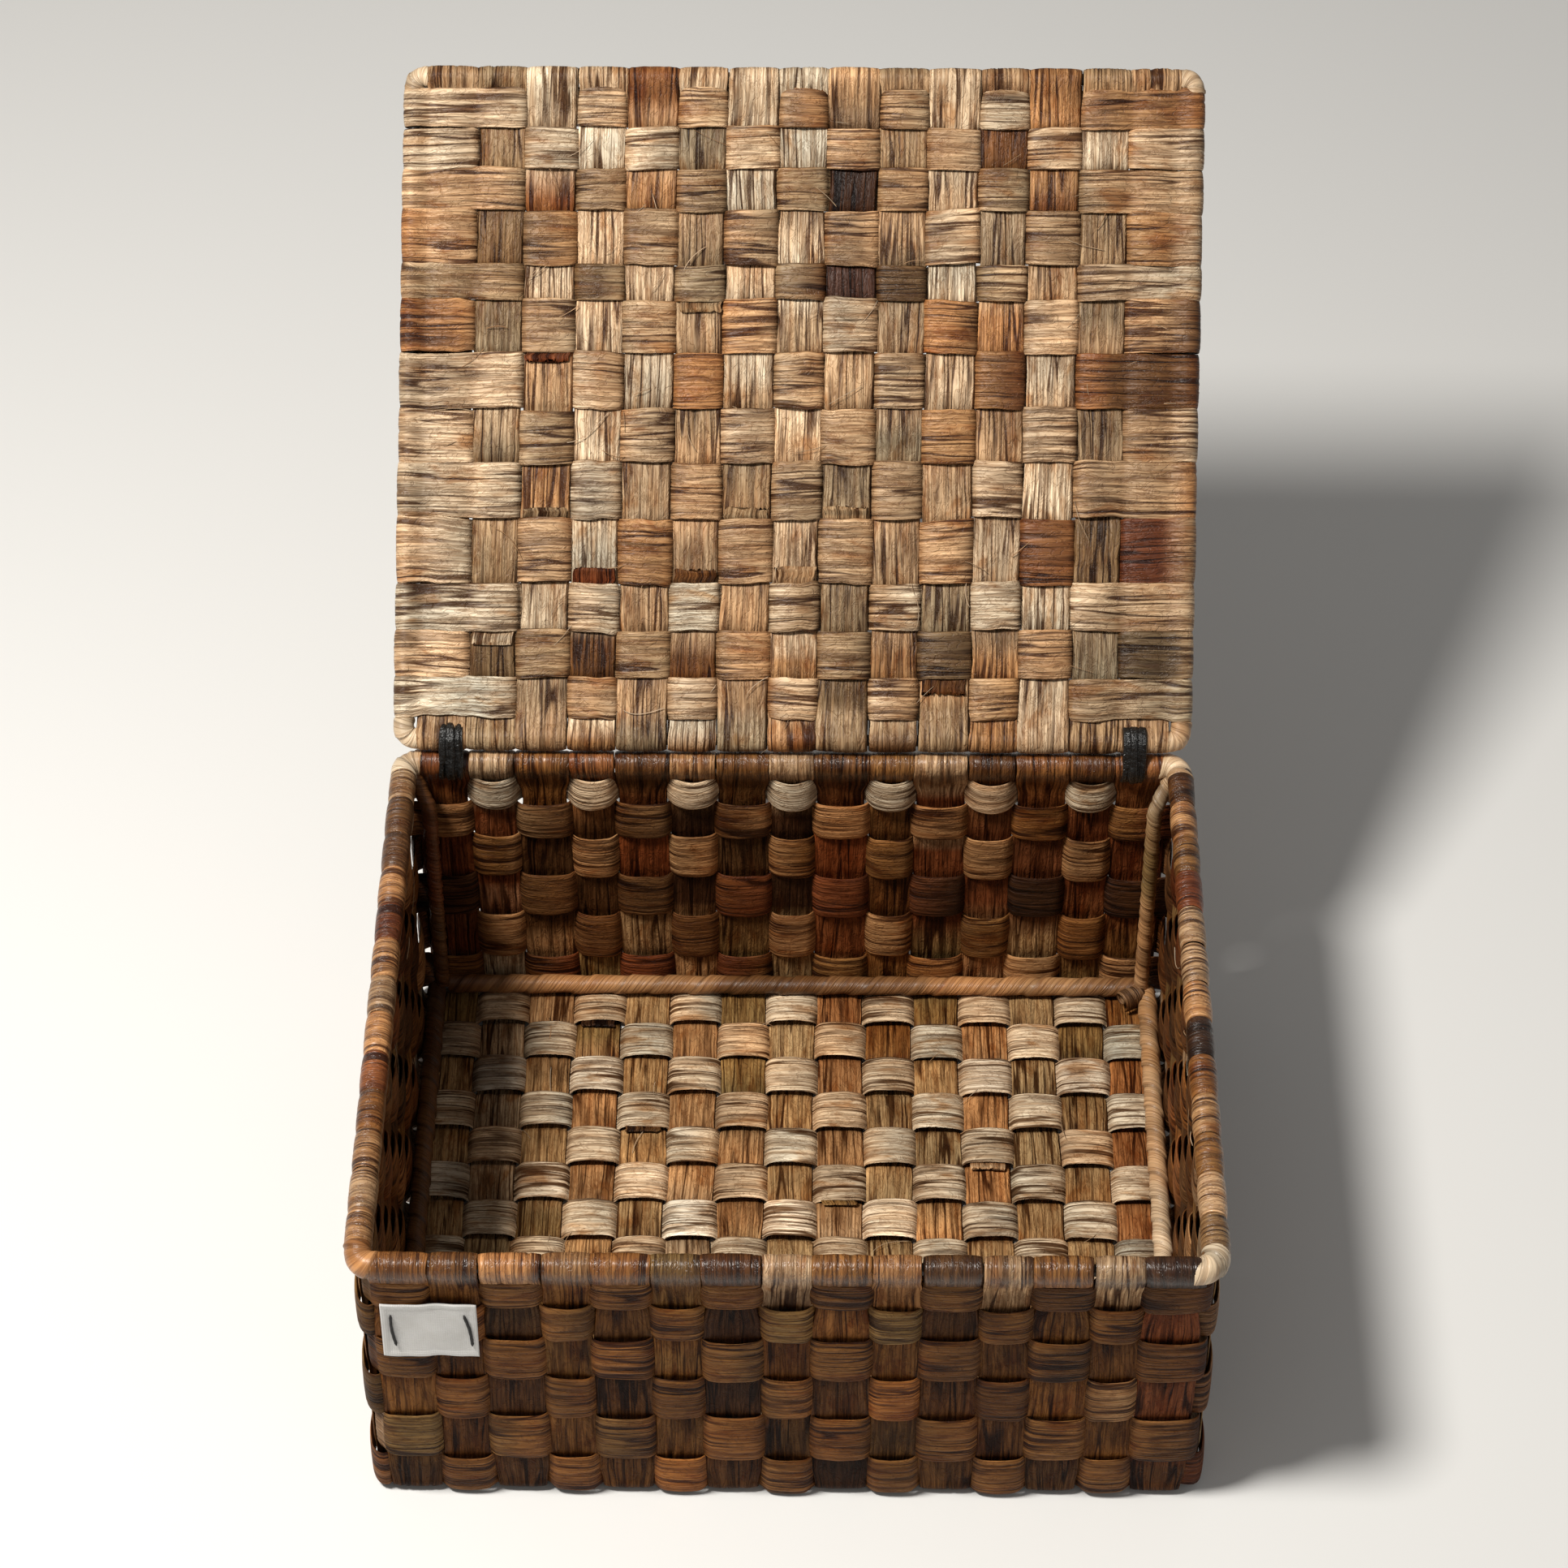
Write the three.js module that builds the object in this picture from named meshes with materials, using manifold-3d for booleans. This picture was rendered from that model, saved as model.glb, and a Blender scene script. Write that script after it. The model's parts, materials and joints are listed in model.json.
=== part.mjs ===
// A rectangular lidded basket woven from flattened water hyacinth strips over a steel rod frame.
// Units are millimetres, +Z is up, the front wall faces -Y. The origin is the middle of the
// basket's underside. The lid is built closed and then swung open about its rear rod.
import * as THREE from "three";
import { mergeVertices } from "three/addons/utils/BufferGeometryUtils.js";
import Module from "manifold-3d";

const wasm = await Module();
wasm.setup();

// Driving sizes of the frame
const BASKET_WIDTH = 310; // between the centres of the side rim rods
const BASKET_DEPTH = 260; // between the centres of the front and back rim rods
const RIM_HEIGHT = 132; // centre of the rim rod above the ground
const RIM_ROD_RADIUS = 2.3;
const POST_ROD_RADIUS = 1.8;
const RIM_CORNER_RADIUS = 6.5;
const BASE_CORNER_RADIUS = 8;

// Driving sizes of the strips
const STRIP_THICKNESS = 1.6; // at the crown of a flattened stem, which thins out to its edges
const LONG_STRIP_COUNT = 15; // run from the front rim under the floor to the back rim
const CROSS_STRIP_COUNT = 13; // run from the left rim under the floor to the right rim
const STRIP_GAP = 4; // between neighbours, where the strips that cross them dip through
const CORNER_GAP = 0.5; // from a rounded rim corner to the nearest strip of the weave
const WALL_ROW_COUNT = 6;
const WALL_ROW_GAP = 2.4;
const WALL_CORNER_RADIUS = 5;
const RIM_ROLL_RADIUS = 5.4; // outside of the strips rolled over the rim rod
const ROLL_SIDES = 10;
const SLEEVE_SIDES = 8;
const ROD_SIDES = 6;
const CORNER_STEPS = 2;
const LOOP_STEPS = 5; // bends in a strip that loops over a rod
const CLEARANCE = 0.3; // between pieces that lie on each other
const PLATEAU_MARGIN = 0.35; // how far a strip runs past the strip it crosses before it dips
const JOIN_DEPTH = 1.5; // how far a strip's end is buried in the roll it turns into

// Driving sizes of the wrapped rods inside the basket
const WRAP_THICKNESS = 1.3;
const WRAP_WIDTH = 14; // of the wound strip, along the rod
const WRAP_GAP = 2; // from one turn to the next, along the rod
const WRAP_STEPS = 8; // bends in each turn
const POST_BEND_DROP = 16; // below the rim rod, where a post leans out to meet it

// Driving sizes of the lid
const LID_SET_BACK = 3; // of the lid's rear rod behind the basket's back rim rod
// Each row's share of the room along the lid, from the front
const LID_ROW_SHARES = [12.1, 16.1, 16.5, 21.6, 13.9, 21, 21.9, 21.6, 22.3, 25.8, 18.8, 19, 16.7];
const LID_ROW_COUNT = LID_ROW_SHARES.length;
const LID_ROW_GAP = 2.3;
const LID_OPEN_DEGREES = 133; // from closed to the open stand
const LID_SEAT_GAP = 0.4;
const LID_ROW_EDGE = 9; // from the rear rod's centre to the nearest row

// Driving sizes of the two hinge ties
const TIE_INSET = 5; // of each tie from the middle of the outermost strip, towards the others
const TIE_WIDTH = 8.4;
const TIE_THICKNESS = 1.8;
const TIE_SLACK = 0.45;
const TIE_STEPS = 6; // bends in a tie round each of the two rolls

// Driving sizes of the sewn cloth label
const LABEL_WIDTH = 35;
const LABEL_HEIGHT = 29;
const LABEL_THICKNESS = 0.8;
const LABEL_CORNER_RADIUS = 1.5;
const LABEL_FROM_LEFT = 25; // from the left rim rod to the label's middle
const LABEL_BELOW_RIM = 32;

// Sizes and levels that follow from those above
const radians = THREE.MathUtils.degToRad;
const WEAVE_EDGE = RIM_CORNER_RADIUS + CORNER_GAP - STRIP_GAP / 2; // inwards from a rim rod's centre
const LONG_STRIP_PITCH = (BASKET_WIDTH - 2 * WEAVE_EDGE) / LONG_STRIP_COUNT;
const LONG_STRIP_WIDTH = LONG_STRIP_PITCH - STRIP_GAP;
const CROSS_STRIP_PITCH = (BASKET_DEPTH - 2 * WEAVE_EDGE) / CROSS_STRIP_COUNT;
const CROSS_STRIP_WIDTH = CROSS_STRIP_PITCH - STRIP_GAP;
const HALF_STRIP = STRIP_THICKNESS / 2;
const ROW_OUT = HALF_STRIP + CLEARANCE; // flat side of a strip that passes on the crowned side
const ROW_IN = -HALF_STRIP - CLEARANCE - STRIP_THICKNESS; // and on the other side
const BOX_X = BASKET_WIDTH / 2;
const BOX_Y = BASKET_DEPTH / 2;
const FLOOR_CROSS = STRIP_THICKNESS + CLEARANCE; // underside of the straight floor strips
const FLOOR_OVER = FLOOR_CROSS + STRIP_THICKNESS + CLEARANCE; // underside of a strip above them
const FLOOR_TOP = FLOOR_OVER + STRIP_THICKNESS;
const ROD_CLEAR_RADIUS = RIM_ROD_RADIUS + CLEARANCE;
const WRAP_ROUNDING = 1 / Math.cos(Math.PI / WRAP_STEPS);
const BASE_WRAP_RADIUS = ROD_CLEAR_RADIUS * WRAP_ROUNDING + WRAP_THICKNESS;
const BASE_INSET = -ROW_IN + CLEARANCE + BASE_WRAP_RADIUS;
const BASE_X = BOX_X - BASE_INSET;
const BASE_Y = BOX_Y - BASE_INSET;
const BASE_HEIGHT = FLOOR_TOP + CLEARANCE + BASE_WRAP_RADIUS;
const TIE_HALF_BEND = 96 / TIE_STEPS; // at most, in degrees, at each of a tie's bends
const TIE_REACH = (RIM_ROLL_RADIUS + TIE_SLACK + TIE_THICKNESS) / Math.cos(radians(TIE_HALF_BEND));
const WALL_ROW_TOP = RIM_HEIGHT - TIE_REACH - CLEARANCE;
const WALL_ROW_PITCH = (WALL_ROW_TOP - FLOOR_TOP + WALL_ROW_GAP) / WALL_ROW_COUNT;
const WALL_ROW_WIDTH = WALL_ROW_PITCH - WALL_ROW_GAP;
const LOOP_FROM = 290; // degrees round the rod at which a looped lid strip ends
const LOOP_HALF_BEND = 120 / LOOP_STEPS; // at most, in degrees, at each bend of a loop
const LID_ROLL_RADIUS = (ROD_CLEAR_RADIUS + STRIP_THICKNESS) / Math.cos(radians(LOOP_HALF_BEND));
const LID_RISE = RIM_ROLL_RADIUS + LID_ROLL_RADIUS + LID_SEAT_GAP;
const LID_LENGTH = BASKET_DEPTH + LID_SET_BACK;
const LID_ROW_ROOM = LID_LENGTH - 2 * LID_ROW_EDGE + LID_ROW_GAP; // for all rows, with a gap after each
const TIE_POSITION = ((LONG_STRIP_COUNT - 1) * LONG_STRIP_PITCH) / 2 - TIE_INSET;

const axisOf = (index, count, pitch) => (index - (count + 1) / 2) * pitch;
const longStripX = (k) => axisOf(k, LONG_STRIP_COUNT, LONG_STRIP_PITCH);
const crossStripY = (j) => axisOf(j, CROSS_STRIP_COUNT, CROSS_STRIP_PITCH);

function finish(name, color, roughness = 0.75, metalness = 0) {
  return new THREE.MeshStandardMaterial({ name, color, roughness, metalness });
}

const FINISHES = {
  rod: finish("steel_rod", 0x4a4643, 0.45, 0.8),
  olive: finish("hyacinth_olive", 0x8d7d55),
  straw: finish("hyacinth_straw", 0xc8ad7c),
  tan: finish("hyacinth_tan", 0xa98652),
  brown: finish("hyacinth_brown", 0x7a5636),
  tie: finish("tie_black", 0x1c1b1a, 0.4),
  cloth: finish("label_cloth", 0xd2d0cc, 0.9),
};

// Solids and booleans

function signedVolume(positions, faces) {
  let volume = 0;
  const [a, b, c] = [new THREE.Vector3(), new THREE.Vector3(), new THREE.Vector3()];
  for (const [i, j, k] of faces) {
    a.fromArray(positions, 3 * i);
    b.fromArray(positions, 3 * j);
    c.fromArray(positions, 3 * k);
    volume += a.dot(b.cross(c)) / 6;
  }
  return volume;
}

function geometryOf(points, faces) {
  const positions = points.flatMap((p) => [p.x, p.y, p.z]);
  const turned = signedVolume(positions, faces) < 0;
  const index = faces.flatMap(([i, j, k]) => (turned ? [i, k, j] : [i, j, k]));
  const geometry = new THREE.BufferGeometry();
  geometry.setAttribute("position", new THREE.Float32BufferAttribute(positions, 3));
  geometry.setIndex(index);
  return geometry;
}

function toSolid(geometry) {
  const bare = geometry.clone();
  bare.deleteAttribute("normal");
  bare.deleteAttribute("uv");
  const merged = mergeVertices(bare, 1e-4);
  const mesh = new wasm.Mesh({
    numProp: 3,
    vertProperties: new Float32Array(merged.attributes.position.array),
    triVerts: new Uint32Array(merged.index.array),
  });
  return new wasm.Manifold(mesh);
}

function toGeometry(solid) {
  const mesh = solid.getMesh();
  const geometry = new THREE.BufferGeometry();
  geometry.setAttribute("position", new THREE.Float32BufferAttribute(mesh.vertProperties, 3));
  geometry.setIndex(new THREE.Uint32BufferAttribute(mesh.triVerts, 1));
  return geometry;
}

function join(geometries) {
  return toGeometry(geometries.map(toSolid).reduce((all, next) => all.add(next)));
}

function cut(geometry, tools) {
  return toGeometry(tools.map(toSolid).reduce((rest, tool) => rest.subtract(tool), toSolid(geometry)));
}

// A surface swept through rings of points, closed with end caps or into a loop

function loft(rings, closed, capFaces) {
  const size = rings[0].length;
  const faces = [];
  const spans = closed ? rings.length : rings.length - 1;
  for (let s = 0; s < spans; s++) {
    const near = s * size;
    const far = ((s + 1) % rings.length) * size;
    for (let i = 0; i < size; i++) {
      const next = (i + 1) % size;
      faces.push([near + i, near + next, far + next], [near + i, far + next, far + i]);
    }
  }
  if (!closed) {
    const last = (rings.length - 1) * size;
    for (const [i, j, k] of capFaces) {
      faces.push([i, k, j], [last + i, last + j, last + k]);
    }
  }
  return geometryOf(rings.flat(), faces);
}

// Where the crown stands over each point of a flat path: straight up where the point says so, and
// else on the left of the path, further out at bends so that the thickness is kept

function crownDirections(path, closed) {
  return path.map((point, i) => {
    if (point.lift) return point.lift;
    const before = closed || i > 0 ? path[(i - 1 + path.length) % path.length] : null;
    const after = closed || i < path.length - 1 ? path[(i + 1) % path.length] : null;
    const sides = [];
    if (before) sides.push(new THREE.Vector2().subVectors(point, before).normalize());
    if (after) sides.push(new THREE.Vector2().subVectors(after, point).normalize());
    const normals = sides.map((d) => new THREE.Vector2(-d.y, d.x));
    const mean = normals.reduce((sum, n) => sum.add(n), new THREE.Vector2()).normalize();
    return mean.divideScalar(mean.dot(normals[normals.length - 1]));
  });
}

// A flattened stem along a flat path: its flat side lies on the path, its crown on the path's left.
// place(u, v, w) gives the point at u, v in the plane of the path and w across the strip.

function strip(path, width, place, { closed = false, crown = STRIP_THICKNESS } = {}) {
  const normals = crownDirections(path, closed);
  const rings = path.map((p, i) => [
    place(p.x, p.y, -width / 2),
    place(p.x, p.y, width / 2),
    place(p.x + normals[i].x * crown, p.y + normals[i].y * crown, 0),
  ]);
  return loft(rings, closed, [[0, 1, 2]]);
}

const point = (u, v) => new THREE.Vector2(u, v);
const lifted = (at, lift) => Object.assign(at, { lift });

function polar(centre, radius, degrees) {
  const angle = radians(degrees);
  return point(centre.x + radius * Math.cos(angle), centre.y + radius * Math.sin(angle));
}

function arc(centre, radius, fromDegrees, toDegrees, steps) {
  const points = [];
  for (let i = 0; i <= steps; i++) {
    points.push(polar(centre, radius, fromDegrees + ((toDegrees - fromDegrees) * i) / steps));
  }
  return points;
}

// The corners of a loop that clears a rod: its straight steps touch the circle of this radius

function loopRound(centre, radius, fromDegrees, toDegrees, steps = LOOP_STEPS) {
  const halfBend = radians((toDegrees - fromDegrees) / steps / 2);
  return arc(centre, radius / Math.cos(halfBend), fromDegrees, toDegrees, steps);
}

// Round rods and sleeves along a path in space

function ringsAlong(path, closed, section) {
  return path.map((p, i) => {
    const before = path[closed ? (i - 1 + path.length) % path.length : Math.max(i - 1, 0)];
    const after = path[closed ? (i + 1) % path.length : Math.min(i + 1, path.length - 1)];
    const back = new THREE.Vector3().subVectors(p, before);
    const ahead = new THREE.Vector3().subVectors(after, p);
    if (back.length() === 0) back.copy(ahead);
    if (ahead.length() === 0) ahead.copy(back);
    back.normalize();
    ahead.normalize();
    if (p.heading) {
      back.copy(p.heading);
      ahead.copy(p.heading);
    }
    const along = new THREE.Vector3().addVectors(back, ahead).normalize();
    const up = Math.abs(ahead.z) > 0.9 ? new THREE.Vector3(1, 0, 0) : new THREE.Vector3(0, 0, 1);
    const side = new THREE.Vector3().crossVectors(up, along).normalize();
    const over = new THREE.Vector3().crossVectors(along, side);
    const stretch = 1 / along.dot(ahead);
    return section.map(([s, o]) =>
      p.clone().addScaledVector(side, s * stretch).addScaledVector(over, o));
  });
}

function circle(radius, sides) {
  const points = [];
  for (let i = 0; i < sides; i++) {
    const angle = (2 * Math.PI * (i + 0.5)) / sides;
    points.push([radius * Math.cos(angle), radius * Math.sin(angle)]);
  }
  return points;
}

function fan(sides) {
  const faces = [];
  for (let i = 1; i < sides - 1; i++) faces.push([0, i, i + 1]);
  return faces;
}

function rod(path, radius, closed = false) {
  return loft(ringsAlong(path, closed, circle(radius, ROD_SIDES)), closed, fan(ROD_SIDES));
}

// A bored sleeve: an outer and an inner wall joined at both ends

function sleeve(path, outerRadius, boreRadius, sides = SLEEVE_SIDES) {
  const flats = 1 / Math.cos(Math.PI / sides);
  const outer = ringsAlong(path, false, circle(outerRadius, sides));
  const inner = ringsAlong(path, false, circle(boreRadius * flats, sides));
  return loft([...outer, ...inner.reverse()], true, []);
}

function roundedRectangle(halfX, halfY, z, radius) {
  const path = [];
  const corners = [[1, -1, -90], [1, 1, 0], [-1, 1, 90], [-1, -1, 180]];
  for (const [sx, sy, from] of corners) {
    const centre = point(sx * (halfX - radius), sy * (halfY - radius));
    for (const p of arc(centre, radius, from, from + 90, CORNER_STEPS)) {
      path.push(new THREE.Vector3(p.x, p.y, z));
    }
  }
  return path;
}

// One corner of such a rectangle, whose two ends head straight along the sides

function cornerBend(path, corner) {
  const size = path.length / 4;
  const bend = path.slice(corner * size, (corner + 1) * size).map((p) => p.clone());
  const turn = (Math.PI / 2) * corner;
  bend[0].heading = new THREE.Vector3(Math.cos(turn), Math.sin(turn), 0);
  bend[size - 1].heading = new THREE.Vector3(-Math.sin(turn), Math.cos(turn), 0);
  return bend;
}

function mesh(name, geometry, material) {
  const piece = new THREE.Mesh(geometry, material);
  piece.name = name;
  return piece;
}

// The places across a strip where it lies flat over or under each strip that it crosses

function plateaus(centres, crossedWidth, levelOf) {
  const half = crossedWidth / 2 + PLATEAU_MARGIN;
  return centres.flatMap((centre, i) => {
    const heading = Math.sign(centres[centres.length - 1] - centres[0]) || 1;
    const level = levelOf(i);
    const up = point(0, 1);
    return [
      lifted(point(centre - heading * half, level), up),
      lifted(point(centre + heading * half, level), up),
    ];
  });
}

// Steel rod frame: rim ring, base ring and the four posts welded between them

const rimPath = roundedRectangle(BOX_X, BOX_Y, RIM_HEIGHT, RIM_CORNER_RADIUS);
const basePath = roundedRectangle(BASE_X, BASE_Y, BASE_HEIGHT, BASE_CORNER_RADIUS);
const POST_FOOT_X = BASE_X - BASE_CORNER_RADIUS * (1 - Math.SQRT1_2);
const POST_FOOT_Y = BASE_Y - BASE_CORNER_RADIUS * (1 - Math.SQRT1_2);
const POST_HEAD_X = BOX_X - RIM_CORNER_RADIUS * (1 - Math.SQRT1_2);
const POST_HEAD_Y = BOX_Y - RIM_CORNER_RADIUS * (1 - Math.SQRT1_2);
const CORNERS = [
  ["front_right", 1, -1],
  ["back_right", 1, 1],
  ["back_left", -1, 1],
  ["front_left", -1, -1],
];

function postPath(sx, sy) {
  return [
    new THREE.Vector3(sx * POST_FOOT_X, sy * POST_FOOT_Y, BASE_HEIGHT),
    new THREE.Vector3(sx * POST_FOOT_X, sy * POST_FOOT_Y, RIM_HEIGHT - POST_BEND_DROP),
    new THREE.Vector3(sx * POST_HEAD_X, sy * POST_HEAD_Y, RIM_HEIGHT),
  ];
}

function wireFrame() {
  const posts = CORNERS.map(([, sx, sy]) => rod(postPath(sx, sy), POST_ROD_RADIUS));
  return join([rod(rimPath, RIM_ROD_RADIUS, true), rod(basePath, RIM_ROD_RADIUS, true), ...posts]);
}

// The strips that run down one wall, under the floor and up the opposite wall

const stripTop = RIM_HEIGHT - RIM_ROLL_RADIUS + JOIN_DEPTH;

function placeLong(k) {
  return (u, v, w) => new THREE.Vector3(longStripX(k) + w, u, v);
}

function placeCross(j) {
  return (u, v, w) => new THREE.Vector3(u, crossStripY(j) + w, v);
}

function longStrip(k) {
  const wall = BOX_Y + HALF_STRIP;
  const centres = Array.from({ length: CROSS_STRIP_COUNT }, (_, i) => crossStripY(i + 1));
  const row = (i) => CROSS_STRIP_COUNT - i;
  const floor = plateaus(centres, CROSS_STRIP_WIDTH, (i) => ((k + row(i)) % 2 ? 0 : FLOOR_OVER));
  const path = [
    point(-wall, stripTop),
    point(-wall, FLOOR_OVER + CLEARANCE),
    point(-wall + STRIP_THICKNESS, HALF_STRIP),
    ...floor,
    point(wall - STRIP_THICKNESS, HALF_STRIP),
    point(wall, FLOOR_OVER + CLEARANCE),
    point(wall, stripTop),
  ];
  return strip(path, LONG_STRIP_WIDTH, placeLong(k));
}

function crossStrip(j) {
  const wall = BOX_X + HALF_STRIP;
  const path = [
    point(-wall, stripTop),
    point(-wall, FLOOR_OVER + CLEARANCE),
    point(-wall + STRIP_THICKNESS, FLOOR_CROSS + CLEARANCE),
    point(-wall + 2 * STRIP_THICKNESS, FLOOR_CROSS),
    point(wall - 2 * STRIP_THICKNESS, FLOOR_CROSS),
    point(wall - STRIP_THICKNESS, FLOOR_CROSS + CLEARANCE),
    point(wall, FLOOR_OVER + CLEARANCE),
    point(wall, stripTop),
  ];
  return strip(path, CROSS_STRIP_WIDTH, placeCross(j));
}

function rimRoll(from, to) {
  return sleeve([from, to], RIM_ROLL_RADIUS, ROD_CLEAR_RADIUS, ROLL_SIDES);
}

const ROLL_END = RIM_CORNER_RADIUS + CLEARANCE; // from a rim corner to the end of a roll

function longRoll(sy) {
  const reach = BOX_X - ROLL_END;
  const at = (x) => new THREE.Vector3(x, sy * BOX_Y, RIM_HEIGHT);
  return rimRoll(at(-reach), at(reach));
}

function crossRoll(sx) {
  const reach = BOX_Y - ROLL_END;
  const at = (y) => new THREE.Vector3(sx * BOX_X, y, RIM_HEIGHT);
  return rimRoll(at(-reach), at(reach));
}

// The slots that the outermost strips leave for the hinge ties just below the rim roll

function tieSlot(side) {
  const height = TIE_REACH + CLEARANCE - RIM_ROLL_RADIUS;
  const slot = new THREE.BoxGeometry(TIE_WIDTH + 2 * CLEARANCE, 4 * STRIP_THICKNESS, height);
  return slot.translate(side * TIE_POSITION, BOX_Y, RIM_HEIGHT - RIM_ROLL_RADIUS - height / 2);
}

function longStrips() {
  const all = [longRoll(-1), longRoll(1)];
  for (let k = 1; k <= LONG_STRIP_COUNT; k++) all.push(longStrip(k));
  return cut(join(all), [tieSlot(-1), tieSlot(1)]);
}

function crossStrips() {
  const all = [crossRoll(-1), crossRoll(1)];
  for (let j = 1; j <= CROSS_STRIP_COUNT; j++) all.push(crossStrip(j));
  return join(all);
}

// One row of weaving round the four walls, outside and inside the upright strips by turns

function wallRow(row) {
  const longs = Array.from({ length: LONG_STRIP_COUNT }, (_, i) => longStripX(i + 1));
  const crosses = Array.from({ length: CROSS_STRIP_COUNT }, (_, i) => crossStripY(i + 1));
  const front = plateaus(longs, LONG_STRIP_WIDTH, (i) => ((i + 1 + row) % 2 ? ROW_IN : ROW_OUT));
  const right = plateaus(crosses, CROSS_STRIP_WIDTH, (i) => ((i + 1 + row) % 2 ? ROW_OUT : ROW_IN));
  const sides = [
    front.map((p) => lifted(point(p.x, -BOX_Y - p.y), point(0, -1))),
    right.map((p) => lifted(point(BOX_X + p.y, p.x), point(1, 0))),
    front.map((p) => lifted(point(-p.x, BOX_Y + p.y), point(0, 1))),
    right.map((p) => lifted(point(-BOX_X - p.y, -p.x), point(-1, 0))),
  ];
  const cornerX = BOX_X - WALL_CORNER_RADIUS;
  const cornerY = BOX_Y - WALL_CORNER_RADIUS;
  const centres = [point(cornerX, -cornerY), point(cornerX, cornerY), point(-cornerX, cornerY),
    point(-cornerX, -cornerY)];
  const levels = [front[0].y, right[0].y];
  const path = sides.flatMap((side, i) => {
    const [near, far] = i % 2 ? [levels[1], levels[0]] : [levels[0], levels[1]];
    const turn = [30, 60].map((degrees) => {
      const radius = WALL_CORNER_RADIUS + near + ((far - near) * degrees) / 90;
      const angle = -90 + 90 * i + degrees;
      return lifted(polar(centres[i], radius, angle), polar(point(0, 0), 1, angle));
    });
    return [...side, ...turn];
  });
  const height = WALL_ROW_TOP - WALL_ROW_WIDTH / 2 - (row - 1) * WALL_ROW_PITCH;
  const place = (u, v, w) => new THREE.Vector3(u, v, height + w);
  return strip(path.reverse(), WALL_ROW_WIDTH, place, { closed: true });
}

// Strips wound round the base ring and the posts: each is one unbroken helix with a low crown

function winding(name, from, to, rodRadius) {
  const along = new THREE.Vector3().subVectors(to, from);
  const room = along.length() - WRAP_WIDTH;
  along.normalize();
  const side = new THREE.Vector3(along.y, along.z, along.x);
  side.addScaledVector(along, -side.dot(along)).normalize();
  const over = new THREE.Vector3().crossVectors(along, side);
  const radius = (rodRadius + CLEARANCE) * WRAP_ROUNDING;
  const advance = (WRAP_WIDTH + WRAP_GAP) / WRAP_STEPS;
  const rings = [];
  for (let i = 0; i * advance <= room; i++) {
    const angle = (2 * Math.PI * i) / WRAP_STEPS;
    const out = side.clone().multiplyScalar(Math.cos(angle)).addScaledVector(over, Math.sin(angle));
    const at = (distance, reach) =>
      from.clone().addScaledVector(along, i * advance + distance).addScaledVector(out, reach);
    const crown = at(WRAP_WIDTH / 2, radius + WRAP_THICKNESS);
    rings.push([at(0, radius), crown, at(WRAP_WIDTH, radius)]);
  }
  console.log(`${name}: least gap between its turns ${leastGap(rings).toFixed(2)} mm`);
  return loft(rings, false, [[0, 1, 2]]);
}

// The shortest way between the points of one turn and those of later turns

function leastGap(rings) {
  let least = Infinity;
  rings.forEach((ring, i) => {
    for (const later of rings.slice(i + WRAP_STEPS - 1)) {
      for (const p of ring) {
        for (const q of later) least = Math.min(least, p.distanceTo(q));
      }
    }
  });
  return least;
}

function baseWrap(name, side) {
  const alongX = side === "front" || side === "back";
  const sign = side === "front" || side === "left" ? -1 : 1;
  const reach = (alongX ? BASE_X : BASE_Y) - BASE_CORNER_RADIUS - CLEARANCE;
  const at = (t) => (alongX
    ? new THREE.Vector3(t, sign * BASE_Y, BASE_HEIGHT)
    : new THREE.Vector3(sign * BASE_X, t, BASE_HEIGHT));
  return winding(name, at(-reach), at(reach), RIM_ROD_RADIUS);
}

function postWrap(name, sx, sy) {
  const at = (z) => new THREE.Vector3(sx * POST_FOOT_X, sy * POST_FOOT_Y, z);
  const foot = BASE_HEIGHT + RIM_ROD_RADIUS + CLEARANCE;
  const head = RIM_HEIGHT - POST_BEND_DROP - CLEARANCE;
  return winding(name, at(foot), at(head), POST_ROD_RADIUS);
}

// Strips wrapped round the rim at its corners, where no strip of the weave rolls over it

function rimCornerWrap(corner, sx, sy) {
  const wrap = sleeve(cornerBend(rimPath, corner), RIM_ROLL_RADIUS, ROD_CLEAR_RADIUS);
  return cut(wrap, [rod(postPath(sx, sy).slice(1), POST_ROD_RADIUS + CLEARANCE)]);
}

// The lid, drawn closed: u runs forward from the rear rod, v towards the lid's inner face

const LID_AXIS = new THREE.Vector3(0, BOX_Y + LID_SET_BACK, RIM_HEIGHT + LID_RISE);
const inLid = (u, v, x) => new THREE.Vector3(x, -u, -v);

function lidStrip(k) {
  const flat = -HALF_STRIP;
  const landing = LID_ROW_EDGE - 2 * CLEARANCE;
  const reach = Math.hypot(landing, flat);
  const touch = 90 - THREE.MathUtils.radToDeg(Math.asin(ROD_CLEAR_RADIUS / reach))
    + THREE.MathUtils.radToDeg(Math.atan2(flat, landing));
  const rear = loopRound(point(0, 0), ROD_CLEAR_RADIUS, LOOP_FROM, touch);
  const front = rear.map((p) => point(LID_LENGTH - p.x, p.y)).reverse();
  const path = [...rear, point(landing, flat), point(LID_LENGTH - landing, flat), ...front];
  const bare = strip(path, LONG_STRIP_WIDTH, (u, v, w) => inLid(u, v, longStripX(k) + w));
  const isOuter = k === 1 || k === LONG_STRIP_COUNT;
  return isOuter ? cut(bare, [tieTrack(Math.sign(longStripX(k)))]) : bare;
}

// The room that the outermost lid strips leave for a hinge tie to pass round the rear roll

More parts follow.
